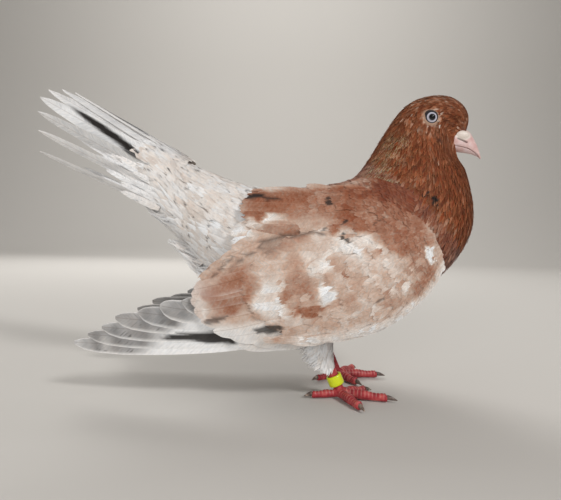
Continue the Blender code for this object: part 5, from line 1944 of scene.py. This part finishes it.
# %% Bill, cere and nostrils
lobes = [ball_shape((CERE_AT[0], side * CERE_APART, CERE_AT[1]), CERE_RADII) for side in (-1, 1)]
upper_mesh = remeshed("bill_upper_horn", [bill_shape("upper")] + lobes, BILL_VOXEL, 2)
points = read_points(upper_mesh)
along = (points[:, [0, 2]] - NOSTRIL_AT) @ np.array(NOSTRIL_WAY)
off = (points[:, [0, 2]] - NOSTRIL_AT) @ np.array((-NOSTRIL_WAY[1], NOSTRIL_WAY[0]))
opening = np.exp(-((off / 0.5) ** 2)) * ease(along, -4.6, -3.0) * (1 - ease(along, 3.2, 4.4))
opening = opening * (np.abs(points[:, 1]) > 2)
points[:, 1] -= np.sign(points[:, 1]) * opening * (0.5 + 0.5 * ease(along, -2, 2))
upper_mesh.vertices.foreach_set("co", (points * MM).astype(np.float32).ravel())
cere = np.zeros(len(points))
for side in (-1, 1):
    ball = (points - np.array((CERE_AT[0], side * CERE_APART, CERE_AT[1]))) / (np.array(CERE_RADII) + 0.5)
    cere = np.maximum(cere, 1 - ease(np.linalg.norm(ball, axis=1), 0.9, 1.2))
# The slits' mask also carries the painted shade inside the nostrils.
write_share(upper_mesh, "nostril_shade", opening)
write_share(upper_mesh, "cere", cere)
lower_mesh = remeshed("bill_lower_horn", [bill_shape("lower")], BILL_VOXEL, 2)
for share_name in ("cere", "nostril_shade"):
    write_share(lower_mesh, share_name, np.zeros(len(lower_mesh.vertices)))
for mesh, node in ((upper_mesh, "bill_upper"), (lower_mesh, "bill_lower")):
    mesh.materials.append(bill_horn)
    keep(show(mesh), "bill_horn", node)
print("bill faces:", len(upper_mesh.polygons), len(lower_mesh.polygons))

# %% [markdown]
# ## Eyes
# A pearl eye: a black pupil in a whitish iris with a dark rim, under a clear wet cornea. The colours
# follow the distance from the eye's axis, and a clear coat gives the wet highlight. A narrow ring of
# bare pale skin edges the lids.

# %% Wet eye and bare lid
eye_wet, eye_tree, eye_shader = new_material(
    "wet_pearl_eye", Roughness=0.3, IOR=1.376, Specular_IOR_Level=0.1, Coat_Weight=0.8, Coat_Roughness=0.02
)
radial = put(eye_tree, ATTRIBUTE, {"attribute_name": "radial"})
fibre = put(eye_tree, NOISE, {"Scale": 1500.0, "Detail": 4.0})
fibre_shift = put(eye_tree, MATH, {"operation": "MULTIPLY_ADD", 1: 0.05, 2: -0.025}, {0: fibre})
eye_place = put(eye_tree, MATH, {"operation": "ADD"}, {0: radial.outputs["Fac"], 1: fibre_shift})
eye_tone = put(eye_tree, RAMP, None, {"Fac": eye_place})
PUPIL_AND_IRIS = (
    (0.0, "#030304"), (0.37, "#050506"), (0.41, "#55535c"), (0.46, "#9d9ba6"),
    (0.59, "#c3c1cb"), (0.65, "#6b6973"), (0.69, "#1d1c22"), (0.93, "#2c2526"),
)
ramp(eye_tone, PUPIL_AND_IRIS)
eye_tree.links.new(eye_tone.outputs[0], eye_shader.inputs["Base Color"])
lid_skin = mottled(
    "bare_lid_skin", ((0.3, "#8a6a58"), (0.6, "#a88872"), (0.8, "#bfa48e")), 900.0, 3.0, in_metres=False,
    Roughness=0.6, IOR=1.42,
)[0]
print("nodes in the eye:", len(eye_tree.nodes))

# %% Eyeballs and lids
EYE_RINGS, EYE_ROUND, FRONT, IRIS_REACH = 60, 48, 1.5, 5.0
LID_ROUND = 64
# The lid's section: radius, and how far it stands off the face.
LID_SECTION = (
    (3.8, -0.6), (3.85, 0.0), (4.05, 0.3), (4.4, 0.3), (4.9, 0.05), (5.6, -0.35), (6.6, -1.2), (4.6, -1.8),
)
surface = body_side(EYE_X, EYE_Z)
depth = math.sqrt((EYE_RADIUS + 0.3) ** 2 - EYE_OPENING**2) - 0.2
for name, side in SIDES.items():
    eye_rings, radials, turn = [], [], round_turns(EYE_ROUND)
    for angle in np.linspace(0.02, math.pi - 0.05, EYE_RINGS):
        away = EYE_RADIUS * math.sin(angle)
        bulge = 0.35 * (1 - ease(np.array([away]), 0.5, 3.6)[0]) if angle < FRONT else 0.0
        forward = (EYE_RADIUS - 0.15 + bulge) * math.cos(angle)
        ring_y = np.full(EYE_ROUND, side * (surface - depth) + side * forward)
        eye_rings.append(np.stack([EYE_X + away * np.cos(turn), ring_y, EYE_Z + away * np.sin(turn)], -1))
        radials += [away / IRIS_REACH if angle < FRONT else 1.0] * EYE_ROUND
    eye_mesh = list_mesh(f"eyeball_{name}", *loft(eye_rings))
    write_share(eye_mesh, "radial", radials + [0.0, 1.0])
    eye_mesh.materials.append(eye_wet)
    keep(show(eye_mesh), "eye", f"eye_{name}")

    lid_rings, turn = [], round_turns(LID_ROUND)
    wrinkle = 1 + 0.012 * np.sin(turn * 17) + 0.01 * np.sin(turn * 29 + 1)
    for radius, stand in LID_SECTION:
        ring_x = EYE_X + radius * np.cos(turn) * wrinkle
        ring_z = EYE_Z + radius * 0.98 * np.sin(turn) * wrinkle
        face = np.array([body_side(a, b) for a, b in zip(ring_x, ring_z)])
        ring_y = side * (face * 0.6 + surface * 0.4 - 0.55 + stand)
        lid_rings.append(np.stack([ring_x, ring_y, ring_z], -1))
    lid_faces = tube_faces(len(lid_rings), LID_ROUND)
    lid_mesh = list_mesh(f"lid_{name}", np.concatenate(lid_rings), lid_faces)
    lid_mesh.materials.append(lid_skin)
    keep(show(lid_mesh), "head_feathers")
print("eyes stand", round(surface - depth + EYE_RADIUS, 1), "mm out from the middle of the head")
